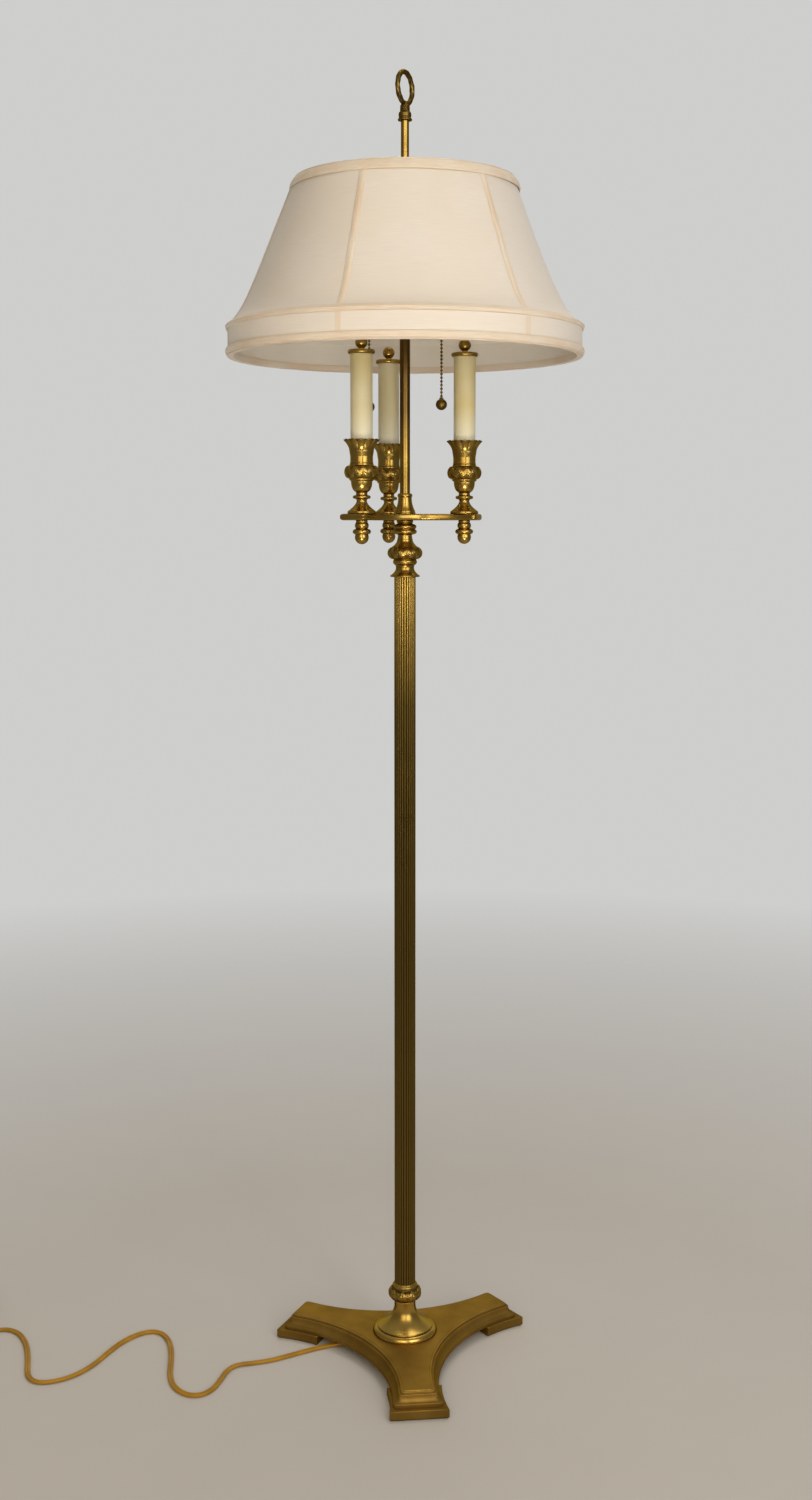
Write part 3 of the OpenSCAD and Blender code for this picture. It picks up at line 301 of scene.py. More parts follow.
def laurel(count, middle, half, depth):
    """A wreath: pointed leaves lean to and fro across the band and cross like a plait, each with a midrib, and
    small berries sit in the gaps along both edges."""
    def relief(angle, height, lean):
        v = (height - middle) / half
        turn = angle * count / TAU

        def leaf(shift, slant):
            across = (turn + slant * v + shift) % 1.0 - 0.5
            width = 0.30 * np.sqrt(np.clip(1 - v * v, 1e-4, 1)) + 0.02
            body = np.sqrt(np.clip(1 - (across / width) ** 2, 0, 1))
            rib = 0.4 * np.exp(-(across / 0.03) ** 2)
            return body * (1 - rib + 0.12 * np.cos(TAU * (3.2 * v + 3 * np.abs(across))))

        def berry(shift, level):
            across = ((turn + shift) % 1.0 - 0.5) / 0.13
            return 0.8 * np.sqrt(np.clip(1 - across ** 2 - ((v - level) / 0.26) ** 2, 0, 1))
        rise = np.maximum(leaf(0.0, 0.42), 0.85 * leaf(0.5, -0.42))
        rise = np.maximum(rise, np.maximum(berry(0.25, 0.62), berry(0.75, -0.62)))
        mask = np.clip((1.02 - np.abs(v)) / 0.18, 0, 1)
        return depth * (rise - 0.62) * mask, np.clip(0.75 - 0.7 * rise, 0, 1) * mask
    return relief


def petals(count, low, high, depth):
    """Flutes that deepen towards a rim: the wall swings out and in with the cosine of the angle, and the inner
    wall follows the outer one."""
    def relief(angle, height, lean):
        t = np.clip((height - low) / (high - low), 0, 1) ** 3.4
        wave = np.abs(np.cos(angle * count / 2)) ** 0.7 * 2 - 1.2
        # The recess share also grows towards the rim on every flute: painted shade for the dark floor that the flaring
        # rim reflects, over the patina in the flutes.
        return depth * t * wave * np.sign(lean), np.clip(0.7 * np.clip(0.1 - wave, 0, 1) * t + 0.6 * t ** 2, 0, 1)
    return relief


# Meshes


def grid(points, wrap_rows=False, caps=False, recess=None, across=None, up=None):
    """One surface on rows and columns of points, with what closes it and, for cloth, its distances along the
    columns (across) and rows (up) in millimetres for the UV map."""
    return {"points": points, "wrap": wrap_rows, "caps": caps, "recess": recess, "uv": (across, up)}


def faces_on(rows, cols, wrap_rows=False, start=0):
    """Numbers of the points, the rows and columns of the faces' corners, and the faces: four neighbouring points
    make a face, and columns and wrapped rows close on themselves."""
    index = np.arange(start, start + rows * cols).reshape(rows, cols)
    r, c = np.arange(rows - (not wrap_rows)), np.arange(cols)
    corners = ((r, c), (r, c + 1), (r + 1, c + 1), (r + 1, c))
    faces = np.stack([index[np.ix_(a % rows, b % cols)] for a, b in corners], -1).reshape(-1, 4)
    return index, corners, faces.tolist()


def piece(name, grids, material, body, nodes=(), sharp=42.0):
    """Joins grids into one mesh object on a body, in the place of its CAD nodes. Caps close a grid's first and last
    row with a face each."""
    points, faces, recess, uvs, start = [], [], [], [], 0
    for g in grids:
        rows, cols = g["points"].shape[:2]
        index, corners, quads = faces_on(rows, cols, g["wrap"], start)
        faces += quads
        across, up = g["uv"]
        across = np.arange(cols + 1.0) if across is None else across
        up = np.arange(rows + 1.0) if up is None else up
        uvs.append(np.stack([np.stack(np.broadcast_arrays(across[b][None, :], up[a][:, None]), -1)
                             for a, b in corners], 2).reshape(-1, 2))
        if g["caps"]:
            faces += [index[0, ::-1].tolist(), index[-1].tolist()]
            uvs.append(np.zeros((2 * cols, 2)))
        points.append(g["points"].reshape(-1, 3))
        recess.append(np.zeros(rows * cols) if g["recess"] is None else g["recess"].ravel())
        start += rows * cols
    mesh = bpy.data.meshes.new(name)
    mesh.from_pydata((np.vstack(points) * 0.001).tolist(), [], faces)
    mesh.polygons.foreach_set("use_smooth", np.ones(len(mesh.polygons), bool))
    shares = mesh.attributes.new("recess", "FLOAT", "POINT")
    shares.data.foreach_set("value", np.concatenate(recess).astype(np.float32))
    layer = mesh.uv_layers.new(name="UVMap")
    layer.uv.foreach_set("vector", np.vstack(uvs).astype(np.float32).ravel())
    mesh.set_sharp_from_angle(angle=math.radians(sharp))
    mesh.materials.append(material)
    obj = bpy.data.objects.new(name, mesh)
    bpy.context.scene.collection.objects.link(obj)
    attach(obj, body)
    if nodes:
        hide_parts(*nodes)
    return obj


def brass_piece(name, shape, material, node, sharp=42.0):
    """One brass piece of the stand, in the place of one CAD node."""
    return piece(name, [shape], material, "stand", [node], sharp)


def turned(outline, bore, columns=96, relief=None, center=(0.0, 0.0), base=0.0, step=0.45):
    """A bored turned piece: its outline from the foot up, closed along the bore."""
    outline = np.asarray(outline, float) + (0.0, base)
    profile = soften(line((bore, outline[0, 1]), outline, (bore, outline[-1, 1])), step)
    points, recess = lathe(profile, columns, relief, center)
    return grid(points, wrap_rows=True, recess=recess)


def solid_turned(outline, columns, center, base, step):
    """A turned piece that is solid to its axis: its outline starts and ends close to the axis."""
    points, recess = lathe(soften(outline + (0.0, base), step), columns, None, center)
    return grid(points, caps=True, recess=recess)


# Finishes


def add(tree, kind, inputs=None, **options):
    """Adds a node with its options, and sets or links its inputs."""
    made = tree.nodes.new(kind)
    for key, value in options.items():
        setattr(made, key, value)
    for key, value in (inputs or {}).items():
        if isinstance(value, bpy.types.NodeSocket):
            tree.links.new(value, made.inputs[key])
        else:
            made.inputs[key].default_value = value
    return made


def mix(tree, share, a, b):
    """A colour between two colours."""
    return add(tree, "ShaderNodeMix", {0: share, 6: a, 7: b}, data_type="RGBA").outputs[2]


def scaled(tree, value, low, high, out_low, out_high):
    """A value moved from one range to another and held inside it."""
    made = add(tree, "ShaderNodeMapRange", {"Value": value, "From Min": low, "From Max": high,
                                           "To Min": out_low, "To Max": out_high})
    return made.outputs["Result"]


def figure(tree, operation, *values):
    """A number worked out from two or three values."""
    return add(tree, "ShaderNodeMath", dict(enumerate(values)), operation=operation).outputs[0]


def noise(tree, place, scale, detail, roughness=0.5):
    """Soft noise at a place."""
    made = add(tree, "ShaderNodeTexNoise", {"Vector": place, "Scale": scale, "Detail": detail, "Roughness": roughness})
    return made.outputs["Fac"]


def stretched(tree, place, scale):
    """A place stretched along its axes, so that a pattern runs one way."""
    return add(tree, "ShaderNodeMapping", {"Vector": place, "Scale": scale}).outputs["Vector"]


def object_place(tree):
    """The place on the lamp, in metres."""
    return add(tree, "ShaderNodeTexCoord").outputs["Object"]


def height_of(tree, place):
    """How high a place is."""
    return add(tree, "ShaderNodeSeparateXYZ", {"Vector": place}).outputs["Z"]


def recess_share(tree):
    """How deep a spot lies in the relief, from the mesh's recess attribute."""
    return add(tree, "ShaderNodeAttribute", attribute_name="recess").outputs["Fac"]


def shaded(color, gain):
    """A colour made lighter or darker by a gain."""
    return tuple(gain * channel for channel in color)


def rgba(color, gain=1.0):
    """A colour property as a socket value, lighter or darker by a gain."""
    return tuple(min(1.0, channel) for channel in shaded(color, gain)) + (1.0,)


def finish(name, build):
    """The finish of that name, made on first use; the lamp's own names keep it apart from the solids' materials."""
    found = bpy.data.materials.get("lamp_" + name)
    if found is None:
        found = bpy.data.materials.new("lamp_" + name)
        found.use_nodes = True
        build(found.node_tree, found.node_tree.nodes["Principled BSDF"])
    return found


def steady(shader, **values):
    """Sets numbers and colours that are the same all over a surface on the shader itself."""
    for key, value in values.items():
        shader.inputs[key.replace("_", " ")].default_value = value


def coat(tree, shader, tone, rough, grain=None, strength=0.0, distance=0.0):
    """Gives a shader its tone, its roughness and, where there is a grain, a bump from it."""
    tree.links.new(tone, shader.inputs["Base Color"])
    tree.links.new(rough, shader.inputs["Roughness"])
    if grain is not None:
        bump = add(tree, "ShaderNodeBump", {"Height": grain, "Strength": strength, "Distance": distance})
        tree.links.new(bump.outputs["Normal"], shader.inputs["Normal"])


def brass_finish(name, bright, cloud, patina, smooth, rough, tarnish_and_painted_light=None):
    """Aged brass: soft clouds between two tones, dark patina where the recess attribute is high (on the base that
    attribute also carries painted shade), faint specks, roughness that follows the clouds and the recesses, and a fine
    cast grain as bump. tarnish_and_painted_light gives two heights in metres between which the tone goes over to
    another
    colour, and that colour: on the stem tarnish with painted shade, on the column painted highlight and painted shade."""
    def build(tree, shader):
        place, deep = object_place(tree), recess_share(tree)
        clouds, specks = noise(tree, place, 24.0, 3.0, 0.55), noise(tree, place, 320.0, 3.0)
        tone = mix(tree, scaled(tree, clouds, 0.35, 0.68, 0.0, 1.0), rgba(cloud), rgba(bright))
        tone = mix(tree, scaled(tree, specks, 0.66, 0.82, 0.0, 0.12), tone, rgba(patina, 2.0))
        # Painted light and shade by height: on the stem, tarnish darkened as painted shade under the shade; on the
        # column, a painted highlight at the top over painted shade.
        if tarnish_and_painted_light:
            low, high, tarnish_and_shade_tone = tarnish_and_painted_light
            wander = 0.05
            uneven = figure(tree, "MULTIPLY_ADD", clouds, wander, height_of(tree, place))
            turning = scaled(tree, uneven, low + wander / 2, high + wander / 2, 0.0, 0.9)
            tone = mix(tree, turning, tone, rgba(tarnish_and_shade_tone))
        tone = mix(tree, scaled(tree, deep, 0.15, 0.95, 0.0, 0.85), tone, rgba(patina))
        wear, sunk = scaled(tree, clouds, 0.3, 0.7, rough, smooth), scaled(tree, deep, 0.2, 1.0, 0.0, 0.25)
        coat(tree, shader, tone, figure(tree, "ADD", wear, sunk), noise(tree, place, 1500.0, 2.0), 0.012, 0.0002)
        steady(shader, Metallic=1.0, Specular_Tint=(0.42, 0.38, 0.30, 1.0))
    return finish(name, build)


def aged_brass(colors, name="aged_brass", bright=1.0, cloud=1.0, smooth=0.22, rough=0.30, tarnish_and_painted_light=None):
    """The brass of the turned and carved pieces, or a lighter or darker brass by gains on its two tones."""
    return brass_finish(name, shaded(colors.brass, bright), shaded(colors.brass_shade, cloud), colors.patina, smooth,
                        rough, tarnish_and_painted_light)


def stem_brass_and_shade(colors, low, high):
    """The brass of the stem, a darker copy of the aged brass as painted shade, gold at its foot and red-brown higher up
    towards the shade, where tarnish and painted shade together darken it.
    """
    return aged_brass(colors, "stem_brass_and_shade", 0.82, 0.82, tarnish_and_painted_light=(low, high, colors.tarnish_and_painted_light))


def bell_brass_painted_light(colors):
    """The bell on the base in a brighter copy of the aged brass: a painted highlight for the strong light it catches.
    """
    return aged_brass(colors, "bell_brass_painted_light", 1.35, 1.3, 0.21, 0.29)


def satin_brass(colors):
    """The duller brass of the cast base."""
    return brass_finish("satin_brass", colors.base_brass, shaded(colors.base_brass, 0.72), colors.patina, 0.46, 0.58)


def column_brass(colors, top):
    """The dark bronze of the reeded column, darkened further as painted shade, with a painted highlight over a hand's
    width below its top, where the column catches the light.
    """
    # Painted light: the top keeps a bright copy of the brass as a painted highlight, and below it the tone goes over to
    # a dark copy, painted shade on the dark bronze.
    lit_top_shaded_below = (top - 0.01, top - 0.15, shaded(colors.brass, 0.29))
    return aged_brass(colors, "column_brass", 1.5, 1.58, 0.25, 0.34, lit_top_shaded_below)


def dark_brass(colors):
    """The tarnished brass of the finial ring and the chains."""
    return aged_brass(colors, "dark_brass", 0.47, 0.41, 0.32, 0.46)


def plated_steel(colors):
    """Zinc-plated steel: pale grey metal with cloudy crystals."""
    def build(tree, shader):
        place = object_place(tree)
        flakes = add(tree, "ShaderNodeTexVoronoi", {"Vector": place, "Scale": 260.0}).outputs["Distance"]
        tone = mix(tree, noise(tree, place, 60.0, 3.0), rgba(colors.steel, 0.7), rgba(colors.steel))
        coat(tree, shader, tone, scaled(tree, flakes, 0.0, 0.6, 0.28, 0.45))
        steady(shader, Metallic=1.0)
    return finish("plated_steel", build)


def woven(name, color, thread, gloss, age=(0.97, 0.93, 0.86), share=0.5):
    """Stretched cloth on the UV map in millimetres: two fine thread waves make the weave, slubs run along each
    thread way, and the colour drifts in patches towards its aged tone."""
    def build(tree, shader):
        at = add(tree, "ShaderNodeUVMap", uv_map="UVMap").outputs["UV"]
        thread_wave = {"Vector": at, "Scale": 0.31416 / thread, "Distortion": 0.6, "Detail": 1.0, "Detail Scale": 0.4}
        weft, warp = (add(tree, "ShaderNodeTexWave", thread_wave, wave_type="BANDS", bands_direction=way).outputs["Fac"]
                      for way in "XY")
        slub = noise(tree, stretched(tree, at, (0.035, 0.9, 1.0)), 1.0, 4.0, 0.65)
        aging = scaled(tree, noise(tree, at, 0.018, 2.0), 0.3, 0.7, 0.0, share)
        tone = mix(tree, scaled(tree, slub, 0.3, 0.75, 0.0, 1.0), rgba(color, 0.94), rgba(color, 1.03))
        tone = mix(tree, aging, tone, (*(c * a for c, a in zip(color, age)), 1.0))
        weave = figure(tree, "ADD", figure(tree, "MAXIMUM", weft, warp), slub)
        coat(tree, shader, tone, scaled(tree, slub, 0.3, 0.7, gloss, gloss + 0.12), weave, 0.22, 0.0003)
        steady(shader, Sheen_Weight=0.18, Sheen_Roughness=0.45, Specular_IOR_Level=0.3)
    return finish(name, build)


def ivory_finish(colors, low, high):
    """Ivory card sleeves: faint streaks down their length, satin sheen, and a tan colour towards the top that is partly
    a real tan and partly painted shade from the shade above.
    """
    def build(tree, shader):
        place = object_place(tree)
        streak = noise(tree, stretched(tree, place, (150.0, 150.0, 8.0)), 1.0, 4.0)
        patch = noise(tree, place, 16.0, 2.0)
        # Painted shade: the tan grows towards the sleeves' tops, under the shade, partly a real tan and partly the
        # shade's shadow.
        start, full = low + 0.02 * (high - low), low + 0.48 * (high - low)
        rise = scaled(tree, height_of(tree, place), start, full, 0.0, 0.9)
        tan_and_shade = figure(tree, "MULTIPLY", rise, scaled(tree, patch, 0.35, 0.65, 0.65, 1.0))
        tone = mix(tree, streak, rgba(colors.ivory, 0.93), rgba(colors.ivory, 1.03))
        tone = mix(tree, tan_and_shade, tone, rgba(colors.scorch_and_shade))
        coat(tree, shader, tone, scaled(tree, streak, 0.3, 0.7, 0.38, 0.5), streak, 0.1, 0.0004)
        steady(shader, Specular_IOR_Level=0.4)
    return finish("ivory_sleeve", build)


def cord_finish(colors):
    """Clear gold cord: amber plastic whose tone drifts along its length, darker along the groove between its two lobes
    as painted shade, with a soft gloss and faint ripples.
    """
    def build(tree, shader):
        place, deep = object_place(tree), recess_share(tree)
        drift, ripple = noise(tree, place, 55.0, 3.0), noise(tree, place, 420.0, 2.0)
        tone = mix(tree, scaled(tree, drift, 0.35, 0.65, 0.0, 1.0), rgba(colors.cord, 0.78), rgba(colors.cord))
        # Painted shade in the groove between the lobes, from the recess share.
        tone = mix(tree, scaled(tree, deep, 0.3, 1.0, 0.0, 0.6), tone, rgba(colors.cord, 0.42))
        coat(tree, shader, tone, scaled(tree, ripple, 0.3, 0.7, 0.42, 0.54), ripple, 0.1, 0.0004)
        steady(shader, Specular_IOR_Level=0.22)
    return finish("gold_cord", build)


def matt_finish(name, color, scale, rough):
    """A matt moulded or felted finish: two tones in fine noise with bump."""
    def build(tree, shader):
        speckle = noise(tree, object_place(tree), scale, 4.0)
        tone = mix(tree, speckle, rgba(color, 0.6), rgba(color, 1.25))
        coat(tree, shader, tone, scaled(tree, speckle, 0.3, 0.7, rough - 0.08, rough + 0.08), speckle, 0.25, 0.0005)
    return finish(name, build)


def black_plastic():
    """The black plastic of the socket bodies and the cord grip."""
    return matt_finish("black_plastic", (0.035, 0.033, 0.032), 800, 0.5)


def frosted_glass():
    """Frosted bulb glass: milky white, faintly cloudy, with a satin skin."""
    def build(tree, shader):
        mist = noise(tree, object_place(tree), 90.0, 3.0)
        tone = mix(tree, mist, (0.80, 0.79, 0.75, 1.0), (0.88, 0.87, 0.84, 1.0))
        coat(tree, shader, tone, scaled(tree, mist, 0.3, 0.7, 0.30, 0.42))
        steady(shader, Specular_IOR_Level=0.55, Subsurface_Weight=0.15, Subsurface_Scale=0.004)
    return finish("bulb_glass", build)


def dress(nodes, material):
    """Gives carried-over solids a finish in their own material slots."""
    for name in nodes:
        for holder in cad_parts[name].material_slots:
            holder.material = material


# Pieces


def place_camera(context):
    """The camera at the photograph's place, level to the left and right, aimed a little down."""
    data = bpy.data.cameras.new("lamp_camera")
    data.sensor_fit, data.sensor_height, data.lens = "VERTICAL", 36.0, 39.87
    data.shift_x, data.shift_y = 0.0007, -0.0478
    camera = bpy.data.objects.new("lamp_camera", data)
    camera.location = (0.0, -1.9628, 1.0183)
    camera.rotation_euler = (math.radians(84.63), 0.0, 0.0)
    context.scene.collection.objects.link(camera)
    context.scene.camera = camera


def coil_route():
    """The put-away coil: the angle runs on, the radius goes in and out a layer at a time, and each layer lies a
    pitch above the last; then the end comes down round the outside to the plug."""
    loops, layers, pitch, radius, low = 1.75, 4, 7.4, 45.0, 4.5
    lead_in, run_out, plug_height = 8.16, 10.2, 8.2
    turn = 360 * loops
    a = np.arange(0.0, turn * layers - 1, 15.0)
    layer = np.minimum(np.floor(a / turn), layers - 1)
    part = a / turn - layer
    r = radius - pitch * loops * np.where(layer % 2 == 0, part, 1 - part)
    near = np.rint(a / turn)
    climb = (a - near * turn) / 180
    inside = (near > 0) & (near < layers) & (np.abs(climb) <= 0.5)
    level = np.where(inside, near - 0.5 + climb, layer)
    t = np.linspace(0, 1, 10)
    r = np.concatenate([r, radius + (pitch + 0.4) * np.minimum(1, 3 * t)])
    a = np.radians(270 - np.concatenate([a, turn * layers + 135 * t]))
    top = low + pitch * (layers - 1)
    descent = top + (plug_height - top) * np.where(t < 0.25, 0, (t - 0.25) / 0.75)
    points = polar(r, a, np.concatenate([low + pitch * level, descent])) + (*COIL_CENTER, 0.0)
    heading = np.array([math.sin(a[-1]), -math.cos(a[-1]), 0.0])
    first = points[0] + (lead_in, 0, 0)
    return np.vstack([first + (lead_in, 0, 0), first, points, points[-1] + run_out * heading]), heading


def oblong_bar(start, heading, along, wide, tall, power, count, shift=0.0):
    """Rounded oblong sections along a level heading: the side goes with the cosine and the rise with the sine of an
    even angle, each raised to a power that squares the corners."""
    c, s = np.cos(circle(count))[None], np.sin(circle(count))[None]
    side = shift + wide[:, None] * np.sign(c) * np.abs(c) ** power
    rise = tall[:, None] * np.sign(s) * np.abs(s) ** power
    across = np.array([-heading[1], heading[0], 0.0])
    points = start + along[:, None, None] * heading + side[..., None] * across
    return grid(points + rise[..., None] * np.array([0, 0, 1.0]), caps=True)


def make_plug(colors, start, heading):
    """The moulded plug: rounded oblong sections that grow from a ribbed relief to the grip, and two flat blades."""
    along = np.array([0, 0.3, 2, 4, 4.6, 6, 8, 8.6, 10, 12, 12.6, 14, 16, 16.6, 18, 20, 21.5, 24, 29, 34, 39, 43, 45,
                      45.8, 46])
    ribs = np.where(np.isin(along, (4.6, 8.6, 12.6, 16.6)), -0.5, 0.0)
    marks = [0, 18, 20, 24, 34, 43, 45, 46]
    wide = np.interp(along, marks, [3.9, 6.0, 6.7, 10.2, 11.6, 12.5, 12.2, 11.0]) + ribs
    tall = np.interp(along, marks, [3.9, 5.8, 6.4, 7.4, 7.2, 7.8, 7.5, 6.6]) + ribs
    power = np.interp(along, [0, 18, 26, 46], [1.0, 1.0, 0.55, 0.5])[:, None]
    plug = piece("plug_body", [oblong_bar(start, heading, along, wide, tall, power, 40)], cord_finish(colors), "stand",
                 ["plug"])
    along, tall = np.array([(44.0, 3.15), (58.0, 3.15), (61.0, 3.0), (62.6, 2.4), (63.0, 1.7)]).T
    wide, apart = np.full(len(along), 0.75), 6.35
    blades = [oblong_bar(start, heading, along, wide, tall, 0.4, 16, place) for place in (-apart, apart)]
    pins = piece("plug_blades", blades, aged_brass(colors), "stand")
    return plug, pins


def make_cord(sizes, colors):
    """The flat twin cord along the solids' route: a section of two joined rounds, level on the floor with a slow
    roll, half turned in the coil."""
    coil, heading = coil_route()
    step, route_height, easings = 2.6, CORD_RUN[-1, 2], 24
    path = even(through(np.vstack([CORD_RUN, coil]), 8), step)
    s = np.arange(len(path)) * step
    lead = s[np.argmin(np.linalg.norm(path - coil[0], axis=1))]

    def ease(low, high):
        return np.clip((s - low) / (high - low), 0, 1)
    free = np.clip((s[1:-1] - 30) / 60, 0, 1) * np.clip((lead - s[1:-1]) / 60, 0, 1)
    for count in range(easings):
        eased = 0.25 * path[:-2] + 0.5 * path[1:-1] + 0.25 * path[2:]
        path[1:-1] += (np.maximum(free, count < 2))[:, None] * (eased - path[1:-1])
    lobe = sizes.cord_height * 500
    apart = sizes.cord_width * 500 - lobe
    coiled = ease(lead - 20, lead + 60) * (1 - ease(s[-1] - 70, s[-1] - 15))
    roll = np.radians(10 * np.sin(s * TAU / 210) * ease(40, 120) * (1 - coiled) + 45 * coiled)
    rest = lobe + apart * np.abs(np.sin(roll)) + 0.12
    on_floor = np.clip(route_height + 1 - path[:, 2], 0, 1)
    path[:, 2] += on_floor * (rest - route_height)
    angle = circle(28)
    reach = apart * np.abs(np.cos(angle)) + np.sqrt(lobe ** 2 - (apart * np.sin(angle)) ** 2)
    reach = np.maximum(reach, 0.74 * lobe)
    points = sweep(path, np.column_stack([reach * np.cos(angle), reach * np.sin(angle)]), roll)
    # Painted shade: the recess share marks the groove where the two lobes meet, which the cord's finish darkens.
    recess = np.broadcast_to(np.exp(-((np.abs(np.sin(angle)) - 1) / 0.05) ** 2), points.shape[:2])
    cord = piece("lamp_cord", [grid(points[:, ::-1], caps=True, recess=recess[:, ::-1])], cord_finish(colors), "stand",
                 ["cord_run", "cord_coil"], sharp=60)
    plug, pins = make_plug(colors, coil[-1], heading)
    dress(["cord_tie"], matt_finish("tie_paper", (0.10, 0.075, 0.045), 600, 0.6))
    dress(["cord_grip"], black_plastic())
    dress(["inner_cord"], cord_finish(colors))


# The base in plan, in millimetres: reach and half width of an arm, and the waist between two; and its turn
BASE_STAR = (160.0, 34.5, 65.0)
BASE_TURN = math.radians(-84)


def make_base(colors):
    """The cast base: rows of star outlines that follow a moulding of riser, hollow cove, step and flat top, with
    the pocket below; and three plain foot blocks."""
    low, size = span("base_casting")
    top, arch, pocket_inset, pocket_top, pocket_end, block_end = low[2] + size[2], 11.0, 19.8, 23.0, 101.0, 105.0
    riser, cove_wide, cove_tall, ledge, step, rim = 6.32, 5.37, 8.67, 24.94, 13.58, 15.8
    cove = oval((riser, ledge), cove_wide, cove_tall, -90, 0, 24)
    edge = soften(line((riser + 2.5, arch), (riser, arch), (riser, 15.4), (6.5, 16.2), (7.0, 16.27), cove[2:],
                       (riser + cove_wide, ledge), (step, ledge), (step, 27.1), (rim, 27.3), (rim, top),
                       (rim + 0.8, top)), 0.32, 2)
    inset, level = edge.T
    # Along the hollow sides the moulding stands further out than at the ends and is a fifth wider
    sides = inset - 2.9 + 0.2 * np.clip(inset - riser, 0, None)
    ends = np.concatenate([np.full(2, pocket_end), BASE_STAR[0] - inset])
    flat = round_plan(star_rows(BASE_STAR, ends, np.concatenate([np.full(2, pocket_inset), sides]), BASE_TURN), 1)
    flat = np.concatenate([0.1 * flat[:1], flat, 0.7 * flat[-1:], 0.1 * flat[-1:]])
    heights = np.concatenate([[pocket_top, pocket_top, arch], level, [top, top]])
    # Painted shade: shadow darkens the cove and riser below the top ledge as if in shade; crease adds dark patina lines
    # at the foot of the cove and at the ledge. Both go into the recess share.
    crease = np.clip(1 - np.abs(level - 16.5), 0, 1) + np.clip(1 - np.abs(level - 25.1) / 0.6, 0, 1) * (inset > 12)
    shadow = 0.7 * np.clip((25.5 - level) / 3, 0, 1) * (inset > 5)
    sunk = 0.55 * np.clip(crease * (inset > 6.6) + shadow, 0, 1)
    recess = np.concatenate([np.zeros(3), sunk, np.zeros(2)])[:, None] + np.zeros(flat.shape[:2])
    parts = [grid(layered(flat, heights), caps=True, recess=recess)]
    insets, heights = np.array([(0.9, 1.2), (0.25, 1.45), (0, 2.1), (0, 2.6), (0, 10.3), (0, 10.8), (0.22, 11.35),
                                (0.8, 11.6), (1.4, 11.6)]).T
    for k in range(3):
        block = block_rows(BASE_STAR, block_end, insets, heights, BASE_TURN + k * TAU / 3)
        parts.append(grid(block, caps=True, recess=np.full(block.shape[:2], 0.5)))
    piece("brass_base", parts, satin_brass(colors), "stand", ["base_casting"], sharp=50)


def make_column(sizes, colors):
    """The reeded tube: round reeds stand side by side, so the radius at an angle is where a ray leaves the nearest
    reed's circle."""
    low, size = span("fluted_column")
    reach, overlap, points_on_reed = 12.7, 1.06, 14
    half = math.pi / sizes.reeds
    reed = reach * math.sin(half) / (1 + math.sin(half)) * overlap
    middle = reach - reed
    angle = circle(sizes.reeds * points_on_reed)
    off = (angle + half) % (2 * half) - half
    radius = middle * np.cos(off) + np.sqrt(np.maximum(reed ** 2 - (middle * np.sin(off)) ** 2, 0))
    z = low[2] + np.array([0.0, 0.5, 217, 434, 651, size[2] - 0.5, size[2]])
    points = polar(radius, angle, z[:, None])
    recess = np.broadcast_to(np.clip((reach - 0.1 - radius) / 0.6, 0, 1), points.shape[:2])
    brass_piece("reeded_column", grid(points, caps=True, recess=recess),
                column_brass(colors, (low[2] + size[2]) / 1000), "fluted_column", 70)


# Radius of the necks at the column's foot and of the bore for the pipe, in millimetres
NECK, BORE = 12.9, 5.2


